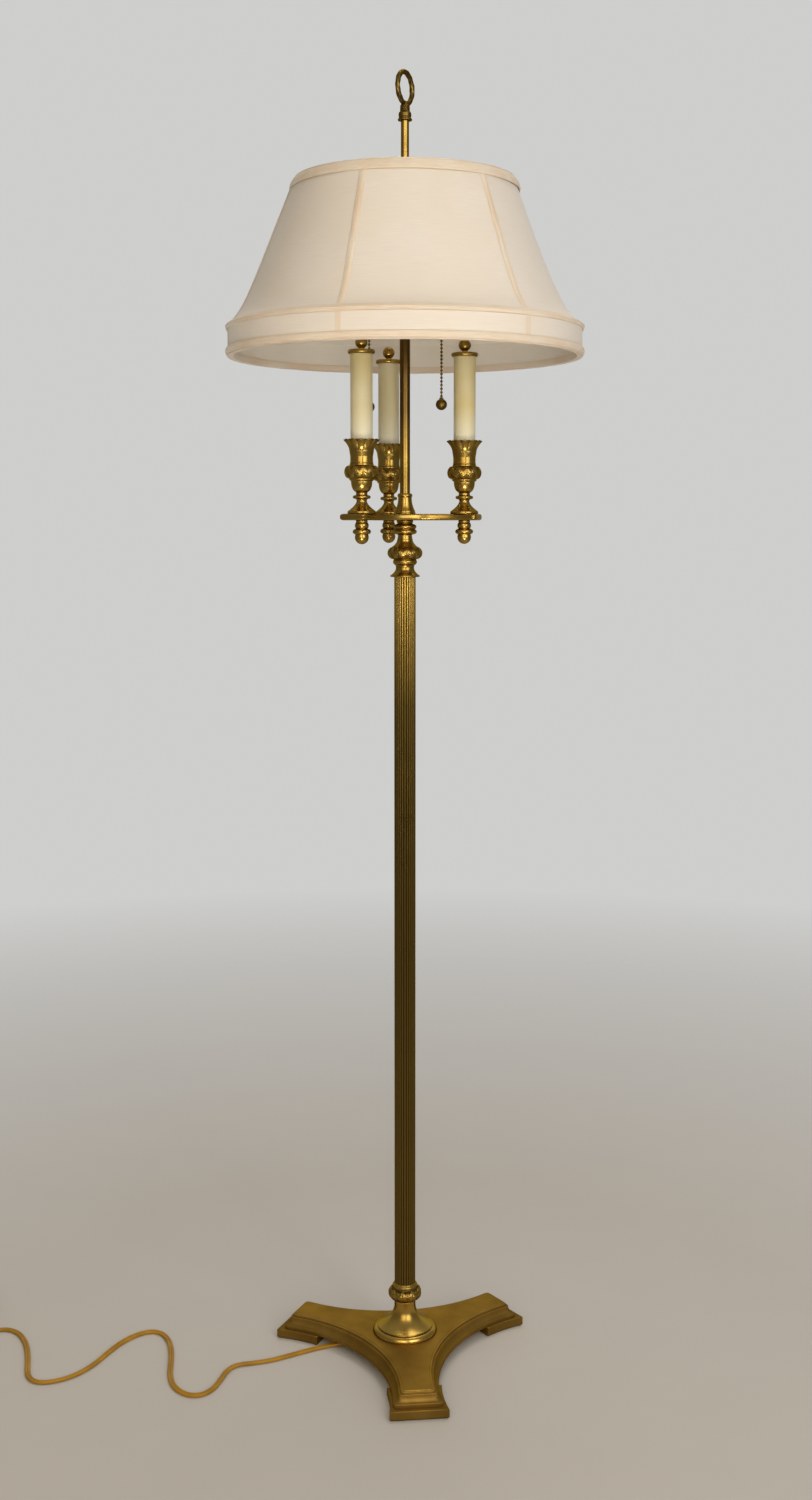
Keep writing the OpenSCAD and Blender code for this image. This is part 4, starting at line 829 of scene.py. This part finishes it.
def make_turnings(colors):
    """The plain turnings of the stack, the arm plate with its rounded edge, the stem and the riser."""
    brass = aged_brass(colors)
    bell = line((39.0, 0), (39.3, 0.4), oval((33.6, 0.4), 5.7, 6.6, 0, 78, 24), (33.0, 6.6), (32.6, 7.2), (33.7, 7.7),
                flare(33.7, 8.3, NECK, 38.5, 3.1, 48), (NECK, 40))
    cap = line((16.9, 0), (17.5, 0.6), (17.5, 1.8), flare(16.7, 2.1, 10.8, 10.6, 2, 16), (10.8, 11.6))
    h = 22.4
    groove = 0.54 * h
    spool = line((9.2, 0), flare(8.9, 0.6, 8.3, groove - 6.8, 1.8, 8),
                 oval((10.2, groove - 2.9), 3.8, 3.1, -84, 60, 16), oval((10.0, groove + 2.8), 3.6, 3.0, -60, 84, 16),
                 (8.7, 0.84 * h), (9.6, h - 2.2), (9.8, h - 1.2), (9.6, h))
    collar = line((12.6, 0), (12.6, 1.6), (11.9, 2), (11.9, 3.4), flare(11.6, 3.8, 8, 18.7, 2, 16),
                  oval((7.4, 21.4), 1.4, 2.1, -70, 70, 10), (7.8, 24))
    for node, outline, bore, columns, step, material in (
            ("bell_collar", bell, BORE, 144, 0.45, bell_brass_painted_light(colors)), ("column_cap", cap, BORE, 96, 0.3, brass),
            ("neck_spool", spool, BORE, 96, 0.3, brass), ("stem_collar", collar, 6.3, 96, 0.3, brass)):
        shape = turned(outline, bore, columns, base=span(node)[0][2], step=step)
        brass_piece(node + "_turned", shape, material, node)
    low, size = span("stem_tube")
    stem = turned([(6, 0), (6, 40), (6, 120), (6, size[2])], BORE, 64, base=low[2], step=4)
    brass_piece("stem_turned", stem, stem_brass_and_shade(colors, low[2] / 1000 + 0.07, low[2] / 1000 + 0.12), "stem_tube")
    low, size = span("riser_rod")
    hub = span("shade_spider")[0][2] - low[2]
    rod = line((0.05, 0), (4.3, 0), (4.7, 0.4), (4.7, hub - 4.2), (8.1, hub - 4), (8.5, hub - 3.6), (8.5, hub - 0.3),
               (8.2, hub), (4.7, hub), (4.7, size[2] - 0.4), (4.3, size[2]), (0.05, size[2]))
    points, recess = lathe(rod + (0, low[2]), 64)
    brass_piece("riser_turned", grid(points, caps=True, recess=recess), brass, "riser_rod", 30)
    low, size = span("arm_plate")
    plate, rounding, flat_from = (89.0, 22.0, 27.0), 2.6, 4.5
    edge = line((flat_from, 0), oval((rounding, rounding), rounding, rounding, 270, 180, 10),
                oval((rounding, size[2] - rounding), rounding, rounding, 180, 90, 10), (flat_from, size[2]))
    flat = round_plan(star_rows(plate, plate[0] - edge[:, 0], edge[:, 0], math.radians(-14)), 3)
    flat = np.concatenate([0.12 * flat[:1], flat, 0.12 * flat[-1:]])
    heights = low[2] + np.concatenate([[0], edge[:, 1], [size[2]]])
    brass_piece("arm_plate_cast", grid(layered(flat, heights), caps=True), brass, "arm_plate", 50)
    nut = line((0.05, 27.4), oval((0, 19.4), 8, 8, 89.5, -24, 24), oval((8.1, 13), 2.4, 2.7, 80, -80, 16),
               oval((6.2, 6), 1.8, 3.4, 80, -80, 14), (6.8, 2), (6.8, 0), (0.05, 0)) * (1, -1)
    nuts = [solid_turned(nut, 64, axis_of(f"candle_base_{k}"), low[2], 0.35) for k in (1, 2, 3)]
    piece("acorn_nuts_turned", nuts, brass, "stand", ["acorn_nuts"])


def make_carvings(sizes, colors):
    """The carved knops under and over the column: upright leaves with a bead, and a laurel wreath."""
    brass = aged_brass(colors)
    low, size = span("lower_knop")
    h, wide = size[2], size[0] / 2
    knop = line((NECK + 0.5, 0), (NECK + 0.5, 0.04 * h),
                oval((NECK + 0.4, 0.38 * h), wide - NECK - 0.4, 0.335 * h, -80, 68, 30),
                oval((NECK - 0.2, 0.82 * h), 2.5, 0.1 * h, -65, 65, 12), (NECK + 0.2, 0.94 * h), (NECK + 0.2, h))
    leaves = upright_leaves(9, low[2] + 0.03 * h, low[2] + 0.7 * h, sizes.leaf_depth * 1000)
    brass_piece("lower_knop_carved", turned(knop, BORE, 240, leaves, base=low[2], step=0.3), brass, "lower_knop", 80)
    low, size = span("upper_knop")
    h, wide = size[2], size[0] / 2
    ring, middle, half = 0.25 * h, 0.51 * h, 0.23 * h
    knop = line((10.8, 0), (11.2, 0.06 * h), oval((10.6, ring - 2), 3.6, 0.11 * h, -50, 50, 12),
                oval((wide - 8, middle), 8, half, -72, 72, 30), (14.6, middle + half + 0.4),
                flare(13.8, middle + half + 0.7, 9.2, h - 0.6, 1.7, 16), (9.2, h))
    wreath = laurel(12, low[2] + middle, half * 0.98, sizes.wreath_depth * 1000)
    brass_piece("upper_knop_carved", turned(knop, BORE, 288, wreath, base=low[2], step=0.3), brass, "upper_knop", 80)


def make_candles(sizes, colors):
    """The three candles: turned foot, bowl with a laurel wreath, fluted cup, ivory sleeve, and a disc with a ball."""
    brass, bore = aged_brass(colors), 2.3
    low, size = span("candle_sleeve_1")
    ivory = ivory_finish(colors, low[2] / 1000, (low[2] + size[2]) / 1000)
    for k in (1, 2, 3):
        center = axis_of(f"candle_base_{k}")
        low, size = span(f"candle_base_{k}")
        h = size[2]
        ring = 0.79 * h
        foot = line((16, 0), (16.4, 0.5), (16.4, 2.6), (15.5, 3.2), flare(15.4, 3.4, 5.8, 0.62 * h, 1.7, 16),
                    (6.6, ring - 2.2), oval((8.6, ring), 1.7, 0.08 * h, -80, 80, 12), (6.6, ring + 2.4), (6.6, h))
        shape = turned(foot, bore, 96, None, center, low[2], 0.35)
        brass_piece(f"candle_foot_{k}", shape, brass, f"candle_base_{k}")
        low, size = span(f"candle_urn_{k}")
        h = size[2]
        wreath, half = 0.71 * h, 0.23 * h
        bowl = line((6.6, 0), oval((6.6, 0.4 * h), 5.7, 0.37 * h, -80, 0, 16), (14.2, 0.43 * h), (14.2, 0.48 * h),
                    oval((13.8, wreath), 6, half, -75, 75, 24), (13.8, 0.94 * h), (13.6, h))
        carve = laurel(12, low[2] + wreath, half * 0.98, sizes.wreath_depth * 1000)
        shape = turned(bowl, bore, 216, carve, center, low[2], 0.32)
        brass_piece(f"candle_bowl_{k}", shape, brass, f"candle_urn_{k}", 80)
        low, size = span(f"candle_cup_{k}")
        h, floor = size[2], size[2] / 2
        t = np.linspace(0, 1, 24)
        outer, inner = (np.column_stack([radius + 6.2 * t ** 1.9, floor + (h - 0.3 - floor) * t])
                        for radius in (13.9, 13.0))
        cup = line((bore, 0), (13, 0), (13.5, 0.9), (13, 1.8), (13, 0.3 * h), outer, (19.9, h), inner[::-1],
                   (bore, floor))
        flutes = petals(12, low[2] + 0.2 * h, low[2] + h, sizes.flute_depth * 1000)
        points, recess = lathe(soften(cup + (0, low[2]), 0.4, 1), 192, flutes, center)
        shape = grid(points, wrap_rows=True, recess=recess)
        brass_piece(f"candle_cup_fluted_{k}", shape, brass, f"candle_cup_{k}", 80)
        low, size = span(f"candle_sleeve_{k}")
        tube = line((11.5, 0), (12.7, 0), (12.7, 20), (12.7, 60), (12.7, size[2] - 0.3), (12.4, size[2]),
                    (11.5, size[2]))
        points, _ = lathe(tube + (0, low[2]), 72, None, center)
        piece(f"candle_sleeve_ivory_{k}", [grid(points, wrap_rows=True)], ivory, "stand", [f"candle_sleeve_{k}"],
              sharp=40)
        spigot = 6
        disc = line((0.05, -spigot), (11.2, -spigot), (11.2, 0), (14.4, 0), oval((14.0, 2.3), 1.6, 2.3, -70, 80, 14),
                    (12, 4.7), (9, 4.9), (5.2, 5.0), (3.4, 5.3), oval((0, 12.9), 7.1, 7.1, -62, 89.5, 30))
        shape = solid_turned(disc, 80, center, span(f"candle_cap_{k}")[0][2] + spigot, 0.4)
        brass_piece(f"candle_cap_turned_{k}", shape, brass, f"candle_cap_{k}")


def make_finial(colors):
    """The ring finial: a turned collar with a ringed neck, and a bar bent to a ring whose section swells in a slow
    twist, like wound leaves."""
    dark = dark_brass(colors)
    base = span("ring_finial")[0][2] - 0.2
    beads = [oval(place, 0.8, 0.7, -70, 70, 6) for place in ((5.0, 11.9), (5.0, 13.5), (4.9, 15.1), (4.8, 16.7))]
    collar = line((4.75, 0.2), (8.0, 0.2), (8.3, 0.6), (8.3, 1.9), (6.9, 3.0), (6.9, 3.6), (7.4, 5.0), (7.3, 8.4),
                  (6.2, 10.2), (5.3, 10.9), *beads, (4.6, 18.2), (4.2, 20.5), (0.6, 22.0), (0.05, 22.0), (0.05, 8.2),
                  (4.75, 8.0))
    points, recess = lathe(soften(collar + (0, base), 0.3, 1), 72)
    piece("finial_collar", [grid(points, wrap_rows=True, recess=recess)], dark, "finial")
    ring_radius, ring_foot, turn = 17.6, 19.5, math.radians(62)
    around, bar = circle(220)[:, None], circle(36)[None]
    twist = np.cos(3 * bar - 11 * around)
    thick = (2.86 + 0.15 * twist + 0.07 * np.cos(6 * bar - 22 * around)
             + 0.12 * np.cos(5 * around + 0.6 * np.cos(2 * bar)))
    radius = ring_radius + thick * np.cos(bar)
    flat = spun(np.stack([radius * np.cos(around), -thick * np.sin(bar)], -1), turn)
    ring = np.dstack([flat, radius * np.sin(around)]) + (0, 0, base + ring_foot + ring_radius)
    sunk = np.clip(0.15 - 0.55 * twist, 0, 1)
    piece("finial_ring", [grid(ring[:, ::-1], wrap_rows=True, recess=sunk[:, ::-1])], dark, "finial", ["ring_finial"],
          sharp=80)


def make_chains(colors):
    """The pull chains: along each chain the radius is that of the nearest bead or, between beads, of the link; a
    small socket holds the ball at the end."""
    bead, link, drop, knob = 1.6, 0.55, 137.0, 6.5
    pitch = 1.31 * (2 * bead)
    for k in (1, 2):
        low, size = span(f"pull_chain_{k}")
        center, top = axis_of(f"pull_chain_{k}"), low[2] + size[2]
        ball = top - drop
        z = np.arange(top - 0.02, ball + 6.4, -0.26)
        off = (top - z - bead + pitch / 2) % pitch - pitch / 2
        radius = np.maximum(np.sqrt(np.maximum(bead ** 2 - off ** 2, 0)), link)
        socket = line((0.05, ball - knob), oval((0, ball), knob, knob, -89, 66, 30), (2.4, ball + 6.2),
                      (2.5, ball + 7.4), (1.7, ball + 7.9))
        parts = [grid(lathe(profile, columns, None, center)[0], caps=True)
                 for profile, columns in ((np.column_stack([radius, z])[::-1], 12), (socket, 40))]
        piece(f"bead_chain_{k}", parts, dark_brass(colors), f"chain_{k}", [f"pull_chain_{k}"], sharp=50)


# The shade in millimetres: its ribs and their turn, the height of the lower band, the cloth's radius at the band and
# at the top, the reach of the flare above the band, and the mean radius by which the UV map goes round
SHADE_RIBS, RIB_TURN = 6, math.radians(10)
BAND, BAND_RADIUS, TOP_RADIUS, FLARE, MEAN_RADIUS = 33.0, 205.5, 127.5, 11.0, 170.0


def shade_radius(z, rim, top):
    """Radius of the cloth's face: straight on the lower band; above it a cone with a flare that dies away."""
    band = rim + BAND
    slope = (BAND_RADIUS - FLARE - TOP_RADIUS) / (top - band)
    return np.where(z < band, BAND_RADIUS, TOP_RADIUS + slope * (top - z) + FLARE * np.exp(-(z - band) / 14))


def panel_draw(z, angle, rim, top, depth):
    """How far the cloth draws in: most in the middle of a panel, nothing at the ribs, the band and the top."""
    band = rim + BAND
    tall = np.sin(np.pi * np.clip((z - band) / (top - band), 0, 1)) ** 0.8
    share = ((angle - RIB_TURN) * SHADE_RIBS / TAU) % 1.0
    return depth * tall * 4 * share * (1 - share)


def girth(columns):
    """Distances round the shade at its mean radius, from the first column on to the first again."""
    return np.arange(columns + 1) * TAU / columns * MEAN_RADIUS


def cloth_shell(depth_out, depth_in, low, high, rim, top, sag, columns=240):
    """A wall of the shade between two depths below the cloth's face, closed at both edges."""
    band = rim + BAND
    z = np.concatenate([np.linspace(low, band, 8)[:-1], band + (high - band) * np.linspace(0, 1, 44) ** 1.4])
    angle = circle(columns)[None]
    face = shade_radius(z, rim, top)[:, None] - panel_draw(z[:, None], angle, rim, top, sag)
    radius = np.concatenate([face - depth_out, (face - depth_in)[::-1]])
    points = polar(radius, angle, np.concatenate([z, z[::-1]])[:, None])
    return grid(points, wrap_rows=True, across=girth(columns), up=np.concatenate([z, z[::-1], z[:1]]))


def tape(low, high, rim, top, proud, tuck=0, columns=288):
    """A folded binding round the shade: a soft half-round section with two rolled edges and a crease between them,
    whose height ripples a little along its length. With tuck it goes on round the rim (-1) or the top edge (1) to
    the inside of the lining."""
    t, angle, crease_at = np.linspace(0, 1, 25)[:, None], circle(columns)[None], 0.30
    level, bulge, around = low + (high - low) * t, np.sin(np.pi * t), 0 * angle
    ripple = 0.10 * np.sin(angle * 41) + 0.08 * np.sin(angle * 67 + 1.3) + 0.06 * np.sin(angle * 103 + 0.4)
    swell = bulge ** 0.38 * (1 - 0.16 * np.exp(-((t - crease_at) / 0.06) ** 2))
    back = np.array([[high], [low]])
    rows = [(shade_radius(level, rim, top) + 0.15 + (proud + ripple) * swell, level + 0.25 * ripple * bulge),
            (shade_radius(back, rim, top) + 0.12 + around, back + [[-0.1], [0.1]] + around)]
    if tuck:
        fold = np.array([(-0.15, 0.1), (-5.7, 0.1), (-5.8, -7.0), (-6.5, -7.0), (-6.8, -3.0), (-6.4, 0.7), (-3.0, 1.3),
                         (0.6, 1.0)])[::-tuck]
        edge = low if tuck < 0 else high
        face = shade_radius(edge - tuck * np.maximum(-fold[:, 1:], 0), rim, top)
        rows.insert(2 if tuck < 0 else 1, (face + fold[:, :1] + around, edge + tuck * fold[:, 1:] + around))
    radius, z = (np.concatenate(part) for part in zip(*rows))
    crease = np.zeros(radius.shape)
    crease[:len(t)] = np.exp(-((t - crease_at) / 0.05) ** 2)
    up = np.concatenate([[0], np.cumsum(np.hypot(np.diff(radius[:, 0]), np.diff(z[:, 0])))])
    return grid(polar(radius, angle, z), wrap_rows=True, recess=crease, across=girth(columns),
                up=np.append(up, up[-1] + 1))


def rib_strip(turn, low, high, rim, top, width, proud):
    """A binding over one rib: a flat half-round strip up the shade's slope, with a fold along one side."""
    z = np.linspace(low, high, 60)
    t = np.linspace(-1, 1, 13)
    rise = proud * np.sqrt(np.clip(1 - t ** 2, 0, 1)) * (1 - 0.35 * np.exp(-((t + 0.45) / 0.14) ** 2))
    wobble = 0.12 * np.sin(z / 7.0) + 0.08 * np.sin(z / 2.9 + 1)
    side = np.concatenate([t * width / 2, [width * 0.42, -width * 0.42]])[None] + wobble[:, None]
    out = shade_radius(z, rim, top)[:, None] + np.concatenate([0.12 + rise, [0.05, 0.05]])[None]
    points = layered(spun(np.stack([out, side], -1), turn), z)
    return grid(points, caps=True, across=np.linspace(0, width * 2, 16), up=z)


def make_shade(sizes, colors):
    """The shade: stretched cloth drawn in between its ribs, its lining, and the folded bindings."""
    low, size = span("shade_cover")
    rim, top = low[2], low[2] + size[2]
    sag, width = sizes.panel_sag * 1000, sizes.binding_width * 1000
    cloth = woven("cream_cloth", tuple(colors.cloth), 0.75, 0.66)
    cover = piece("shade_cloth", [cloth_shell(0.0, 0.9, rim, top, rim, top, sag)], cloth, "shade", ["shade_cover"],
                  sharp=50)
    lined = woven("lining_cloth", tuple(colors.lining), 0.6, 0.62)
    low, size = span("shade_lining")
    shell = cloth_shell(4.8, 5.6, low[2], low[2] + size[2], rim, top, sag)
    lining = piece("shade_lining_cloth", [shell], lined, "shade", ["shade_lining"], sharp=50)
    bound = woven("binding_cloth", tuple(colors.trim), 0.7, 0.6, (0.90, 0.79, 0.66), 0.8)
    bindings = [tape(top - 11, top + 0.5, rim, top, 2.6, 1), tape(rim + 28.75, rim + 37.25, rim, top, 2.4),
                tape(rim, rim + 8.5, rim, top, 2.6, -1)]
    for turn in RIB_TURN + circle(SHADE_RIBS):
        bindings.append(rib_strip(turn, rim + 36.5, top - 10.5, rim, top, width, 1.15))
        bindings.append(rib_strip(turn, rim + 8.0, rim + 29.4, rim, top, width * 0.9, 0.2))
    edging = piece("shade_bindings", bindings, bound, "shade", ["shade_trim"], sharp=70)


def make_inner_parts(colors):
    """The bulbs with their threads, and the finishes of the carried-over solids inside the lamp."""
    brass, steel = aged_brass(colors), plated_steel(colors)
    tilt, port = math.radians(35), (0, 0, span("cluster_body")[0][2] + 9)
    # Along a socket's leaning axis: where its wall clears the riser, then the bulb's foot and its seat
    riser, gap, socket = 4.7, 1.2, 18
    boss = (riser + gap + socket * math.cos(tilt)) / math.sin(tilt) - 10
    foot, seat = boss + 30.3, boss + 58
    bulb, length, shoulder = 24, 74, math.radians(28)
    t = np.linspace(0, 1, 16)
    neck = np.column_stack([14 + (bulb * math.cos(shoulder) - 14) * (3 * t ** 2 - 2 * t ** 3),
                            seat + (length - bulb * (1 + math.sin(shoulder))) * t])
    globe = line((0.05, seat), (12.6, seat), (13.6, seat + 0.2), neck,
                 oval((0, seat + (length - bulb)), bulb, bulb, -26, 89.7, 40))
    globe, _ = lathe(soften(globe, 1.0, 1), 72)
    z = np.arange(foot + 5, seat, 0.35)
    thread = np.column_stack([12.1 + 0.42 * np.cos((z - foot) * TAU / 3.6), z])
    screw, _ = lathe(line((0.05, foot), (4, foot), (4.6, foot + 1.6), (10.8, foot + 3.6), thread, (12.4, seat),
                          (0.05, seat)), 60)
    for k in (1, 2):
        turn = math.radians(-25 + 180 * (k - 1))
        piece(f"bulb_globe_{k}", [grid(tilted(globe, port, tilt, turn), caps=True)], frosted_glass(), "stand",
              [f"bulb_{k}"], sharp=60)
        piece(f"bulb_thread_{k}", [grid(tilted(screw, port, tilt, turn), caps=True)], steel, "stand")
    dress(["cluster_body", "socket_cap_1", "socket_cap_2", "socket_shell_1", "socket_shell_2", "screw_shells",
           "center_contacts", "shade_nut"], brass)
    dress(["base_nut", "core_pipe", "candle_rods", "switch_lever_1", "switch_lever_2", "shade_spider",
           "shade_frame"], steel)
    dress(["socket_body_1", "socket_body_2"], black_plastic())
    dress(["foot_pads"], matt_finish("felt", (0.055, 0.070, 0.050), 1400, 0.9))


def make_stage(context, colors):
    """A pale floor disc that fades into surroundings that are pale behind the lamp and dim beside it; two broad soft
    lamps behind the camera, each with a brighter strip, one from above and one low down that lights the lining."""
    scene = context.scene
    world = bpy.data.worlds.new("studio")
    world.use_nodes = True
    tree = world.node_tree
    way = add(tree, "ShaderNodeSeparateXYZ", {"Vector": add(tree, "ShaderNodeTexCoord").outputs["Generated"]})

    def ramp(axis, low, high):
        return add(tree, "ShaderNodeMapRange", {"Value": way.outputs[axis], "From Min": low, "From Max": high},
                   interpolation_type="SMOOTHSTEP").outputs["Result"]
    tone = mix(tree, ramp("Y", 0.45, 0.92), (0.20, 0.19, 0.18, 1.0), (0.62, 0.62, 0.61, 1.0))
    tone = mix(tree, ramp("Z", 0.35, 0.95), tone, (0.36, 0.355, 0.34, 1.0))
    tree.links.new(tone, tree.nodes["Background"].inputs["Color"])
    scene.world = world
    scene.view_settings.view_transform = "Standard"


    def build(tree, shader):
        place = object_place(tree)
        away = add(tree, "ShaderNodeVectorMath", {0: place}, operation="LENGTH").outputs["Value"]
        tone = mix(tree, noise(tree, place, 9.0, 5.0), rgba(colors.floor, 0.97), rgba(colors.floor, 1.02))
        tree.links.new(tone, shader.inputs["Base Color"])
        steady(shader, Roughness=0.75, Specular_IOR_Level=0.25)
        clear = add(tree, "ShaderNodeBsdfTransparent")
        fade = add(tree, "ShaderNodeMixShader", {0: scaled(tree, away, 0.55, 2.6, 0.0, 1.0), 1: shader.outputs[0],
                                                2: clear.outputs[0]})
        tree.links.new(fade.outputs[0], tree.nodes["Material Output"].inputs["Surface"])
    rings, spokes, reach, drop = 24, 96, 2.9, 0.00002
    points = polar(np.linspace(0.02, reach, rings)[:, None], -circle(spokes)[None], -drop)
    index, _, faces = faces_on(rings, spokes)
    mesh = bpy.data.meshes.new("studio_floor")
    mesh.from_pydata(points.reshape(-1, 3).tolist(), [], faces + [index[0, ::-1].tolist()])
    mesh.materials.append(finish("studio_floor", build))
    floor = bpy.data.objects.new("studio_floor", mesh)
    scene.collection.objects.link(floor)
    for name, place, aim, width, height, power, color, spread in (
            ("window_left", (-0.66, -2.95, 2.05), (0, 0, 2.05), 1.85, 2.6, 29.0, (1.0, 0.86, 0.60), 180),
            ("window_right", (1.72, -2.5, 2.05), (0, 0, 2.05), 1.85, 2.6, 37.0, (1.0, 1.0, 0.99), 180),
            ("strip_left", (-0.07, -2.85, 1.9), (0, 0, 1.9), 0.36, 2.2, 7.0, (1.0, 0.97, 0.90), 180),
            ("strip_right", (1.22, -2.55, 1.9), (0, 0, 1.9), 0.36, 2.2, 7.0, (1.0, 0.97, 0.90), 180),
            ("top", (0.3, 0.9, 3.2), (0, 0, 0.9), 1.6, 1.6, 20.0, (1.0, 0.98, 0.95), 180),
            ("bounce", (0.1, -1.5, 0.2), (0, 0.15, 1.3), 1.3, 0.4, 0.9, (1.0, 0.98, 0.95), 32)):
        data = bpy.data.lights.new(name, "AREA")
        data.shape, data.size, data.size_y, data.energy = "RECTANGLE", width, height, power
        data.color, data.spread = color, math.radians(spread)
        light = bpy.data.objects.new(name, data)
        light.location, light.visible_camera = place, False
        away = np.array(place) - np.array(aim)
        flat = math.hypot(away[0], away[1])
        light.rotation_euler = (math.atan2(flat, away[2]), 0.0, math.atan2(away[0], -away[1]))
        scene.collection.objects.link(light)


# Operators


class LAMP_OT_camera(bpy.types.Operator):
    """Place the camera at the photograph's viewpoint"""
    bl_idname = "lamp.camera"
    bl_label = "Camera"

    def execute(self, context):
        place_camera(context)
        return {"FINISHED"}


class LAMP_OT_cord(bpy.types.Operator):
    """Make the flat twin cord, its coil and its plug"""
    bl_idname = "lamp.cord"
    bl_label = "Cord and Plug"

    def execute(self, context):
        make_cord(context.scene.lamp_sizes, context.scene.lamp_finishes)
        return {"FINISHED"}


class LAMP_OT_base(bpy.types.Operator):
    """Make the moulded three-armed base"""
    bl_idname = "lamp.base"
    bl_label = "Base"

    def execute(self, context):
        make_base(context.scene.lamp_finishes)
        return {"FINISHED"}


class LAMP_OT_column(bpy.types.Operator):
    """Make the reeded column"""
    bl_idname = "lamp.column"
    bl_label = "Column"

    def execute(self, context):
        make_column(context.scene.lamp_sizes, context.scene.lamp_finishes)
        return {"FINISHED"}


class LAMP_OT_turnings(bpy.types.Operator):
    """Make the plain turnings, the arm plate, the stem and the riser"""
    bl_idname = "lamp.turnings"
    bl_label = "Turnings"

    def execute(self, context):
        make_turnings(context.scene.lamp_finishes)
        return {"FINISHED"}


class LAMP_OT_carvings(bpy.types.Operator):
    """Make the carved knops"""
    bl_idname = "lamp.carvings"
    bl_label = "Carved Knops"

    def execute(self, context):
        make_carvings(context.scene.lamp_sizes, context.scene.lamp_finishes)
        return {"FINISHED"}


class LAMP_OT_candles(bpy.types.Operator):
    """Make the three candles"""
    bl_idname = "lamp.candles"
    bl_label = "Candles"

    def execute(self, context):
        make_candles(context.scene.lamp_sizes, context.scene.lamp_finishes)
        return {"FINISHED"}


class LAMP_OT_finial(bpy.types.Operator):
    """Make the ring finial"""
    bl_idname = "lamp.finial"
    bl_label = "Finial"

    def execute(self, context):
        make_finial(context.scene.lamp_finishes)
        return {"FINISHED"}


class LAMP_OT_chains(bpy.types.Operator):
    """Make the two pull chains"""
    bl_idname = "lamp.chains"
    bl_label = "Pull Chains"

    def execute(self, context):
        make_chains(context.scene.lamp_finishes)
        return {"FINISHED"}


class LAMP_OT_shade(bpy.types.Operator):
    """Make the shade's cloth, lining and bindings"""
    bl_idname = "lamp.shade"
    bl_label = "Shade"

    def execute(self, context):
        make_shade(context.scene.lamp_sizes, context.scene.lamp_finishes)
        return {"FINISHED"}


class LAMP_OT_inner_parts(bpy.types.Operator):
    """Make the bulbs and finish the parts inside the lamp"""
    bl_idname = "lamp.inner_parts"
    bl_label = "Inner Parts"

    def execute(self, context):
        make_inner_parts(context.scene.lamp_finishes)
        return {"FINISHED"}


class LAMP_OT_stage(bpy.types.Operator):
    """Make the pale floor and the studio light"""
    bl_idname = "lamp.stage"
    bl_label = "Stage"

    def execute(self, context):
        make_stage(context, context.scene.lamp_finishes)
        return {"FINISHED"}


STEPS = (LAMP_OT_camera, LAMP_OT_cord, LAMP_OT_base, LAMP_OT_column, LAMP_OT_turnings, LAMP_OT_carvings,
         LAMP_OT_candles, LAMP_OT_finial, LAMP_OT_chains, LAMP_OT_shade, LAMP_OT_inner_parts, LAMP_OT_stage)


class LAMP_PT_sidebar(bpy.types.Panel):
    """Lists the lamp's pieces and settings"""
    bl_idname = "LAMP_PT_sidebar"
    bl_label = "Floor Lamp"
    bl_space_type = "VIEW_3D"
    bl_region_type = "UI"
    bl_category = "Lamp"

    def draw(self, context):
        for step in STEPS:
            self.layout.operator(step.bl_idname)
        for group in (context.scene.lamp_sizes, context.scene.lamp_finishes):
            for name in group.__annotations__:
                self.layout.prop(group, name)


CLASSES = (LampSizes, LampFinishes) + STEPS + (LAMP_PT_sidebar,)


def register():
    """Registers the classes and hangs the settings on the scene."""
    for cls in CLASSES:
        bpy.utils.register_class(cls)
    bpy.types.Scene.lamp_sizes = PointerProperty(type=LampSizes)
    bpy.types.Scene.lamp_finishes = PointerProperty(type=LampFinishes)


def unregister():
    """Takes the settings and the classes away again."""
    del bpy.types.Scene.lamp_finishes
    del bpy.types.Scene.lamp_sizes
    for cls in reversed(CLASSES):
        bpy.utils.unregister_class(cls)


def main():
    """Makes every piece in order."""
    register()
    for step in STEPS:
        getattr(bpy.ops.lamp, step.bl_idname.split(".")[1])()
    bpy.context.view_layer.update()


if __name__ == "__main__":
    main()
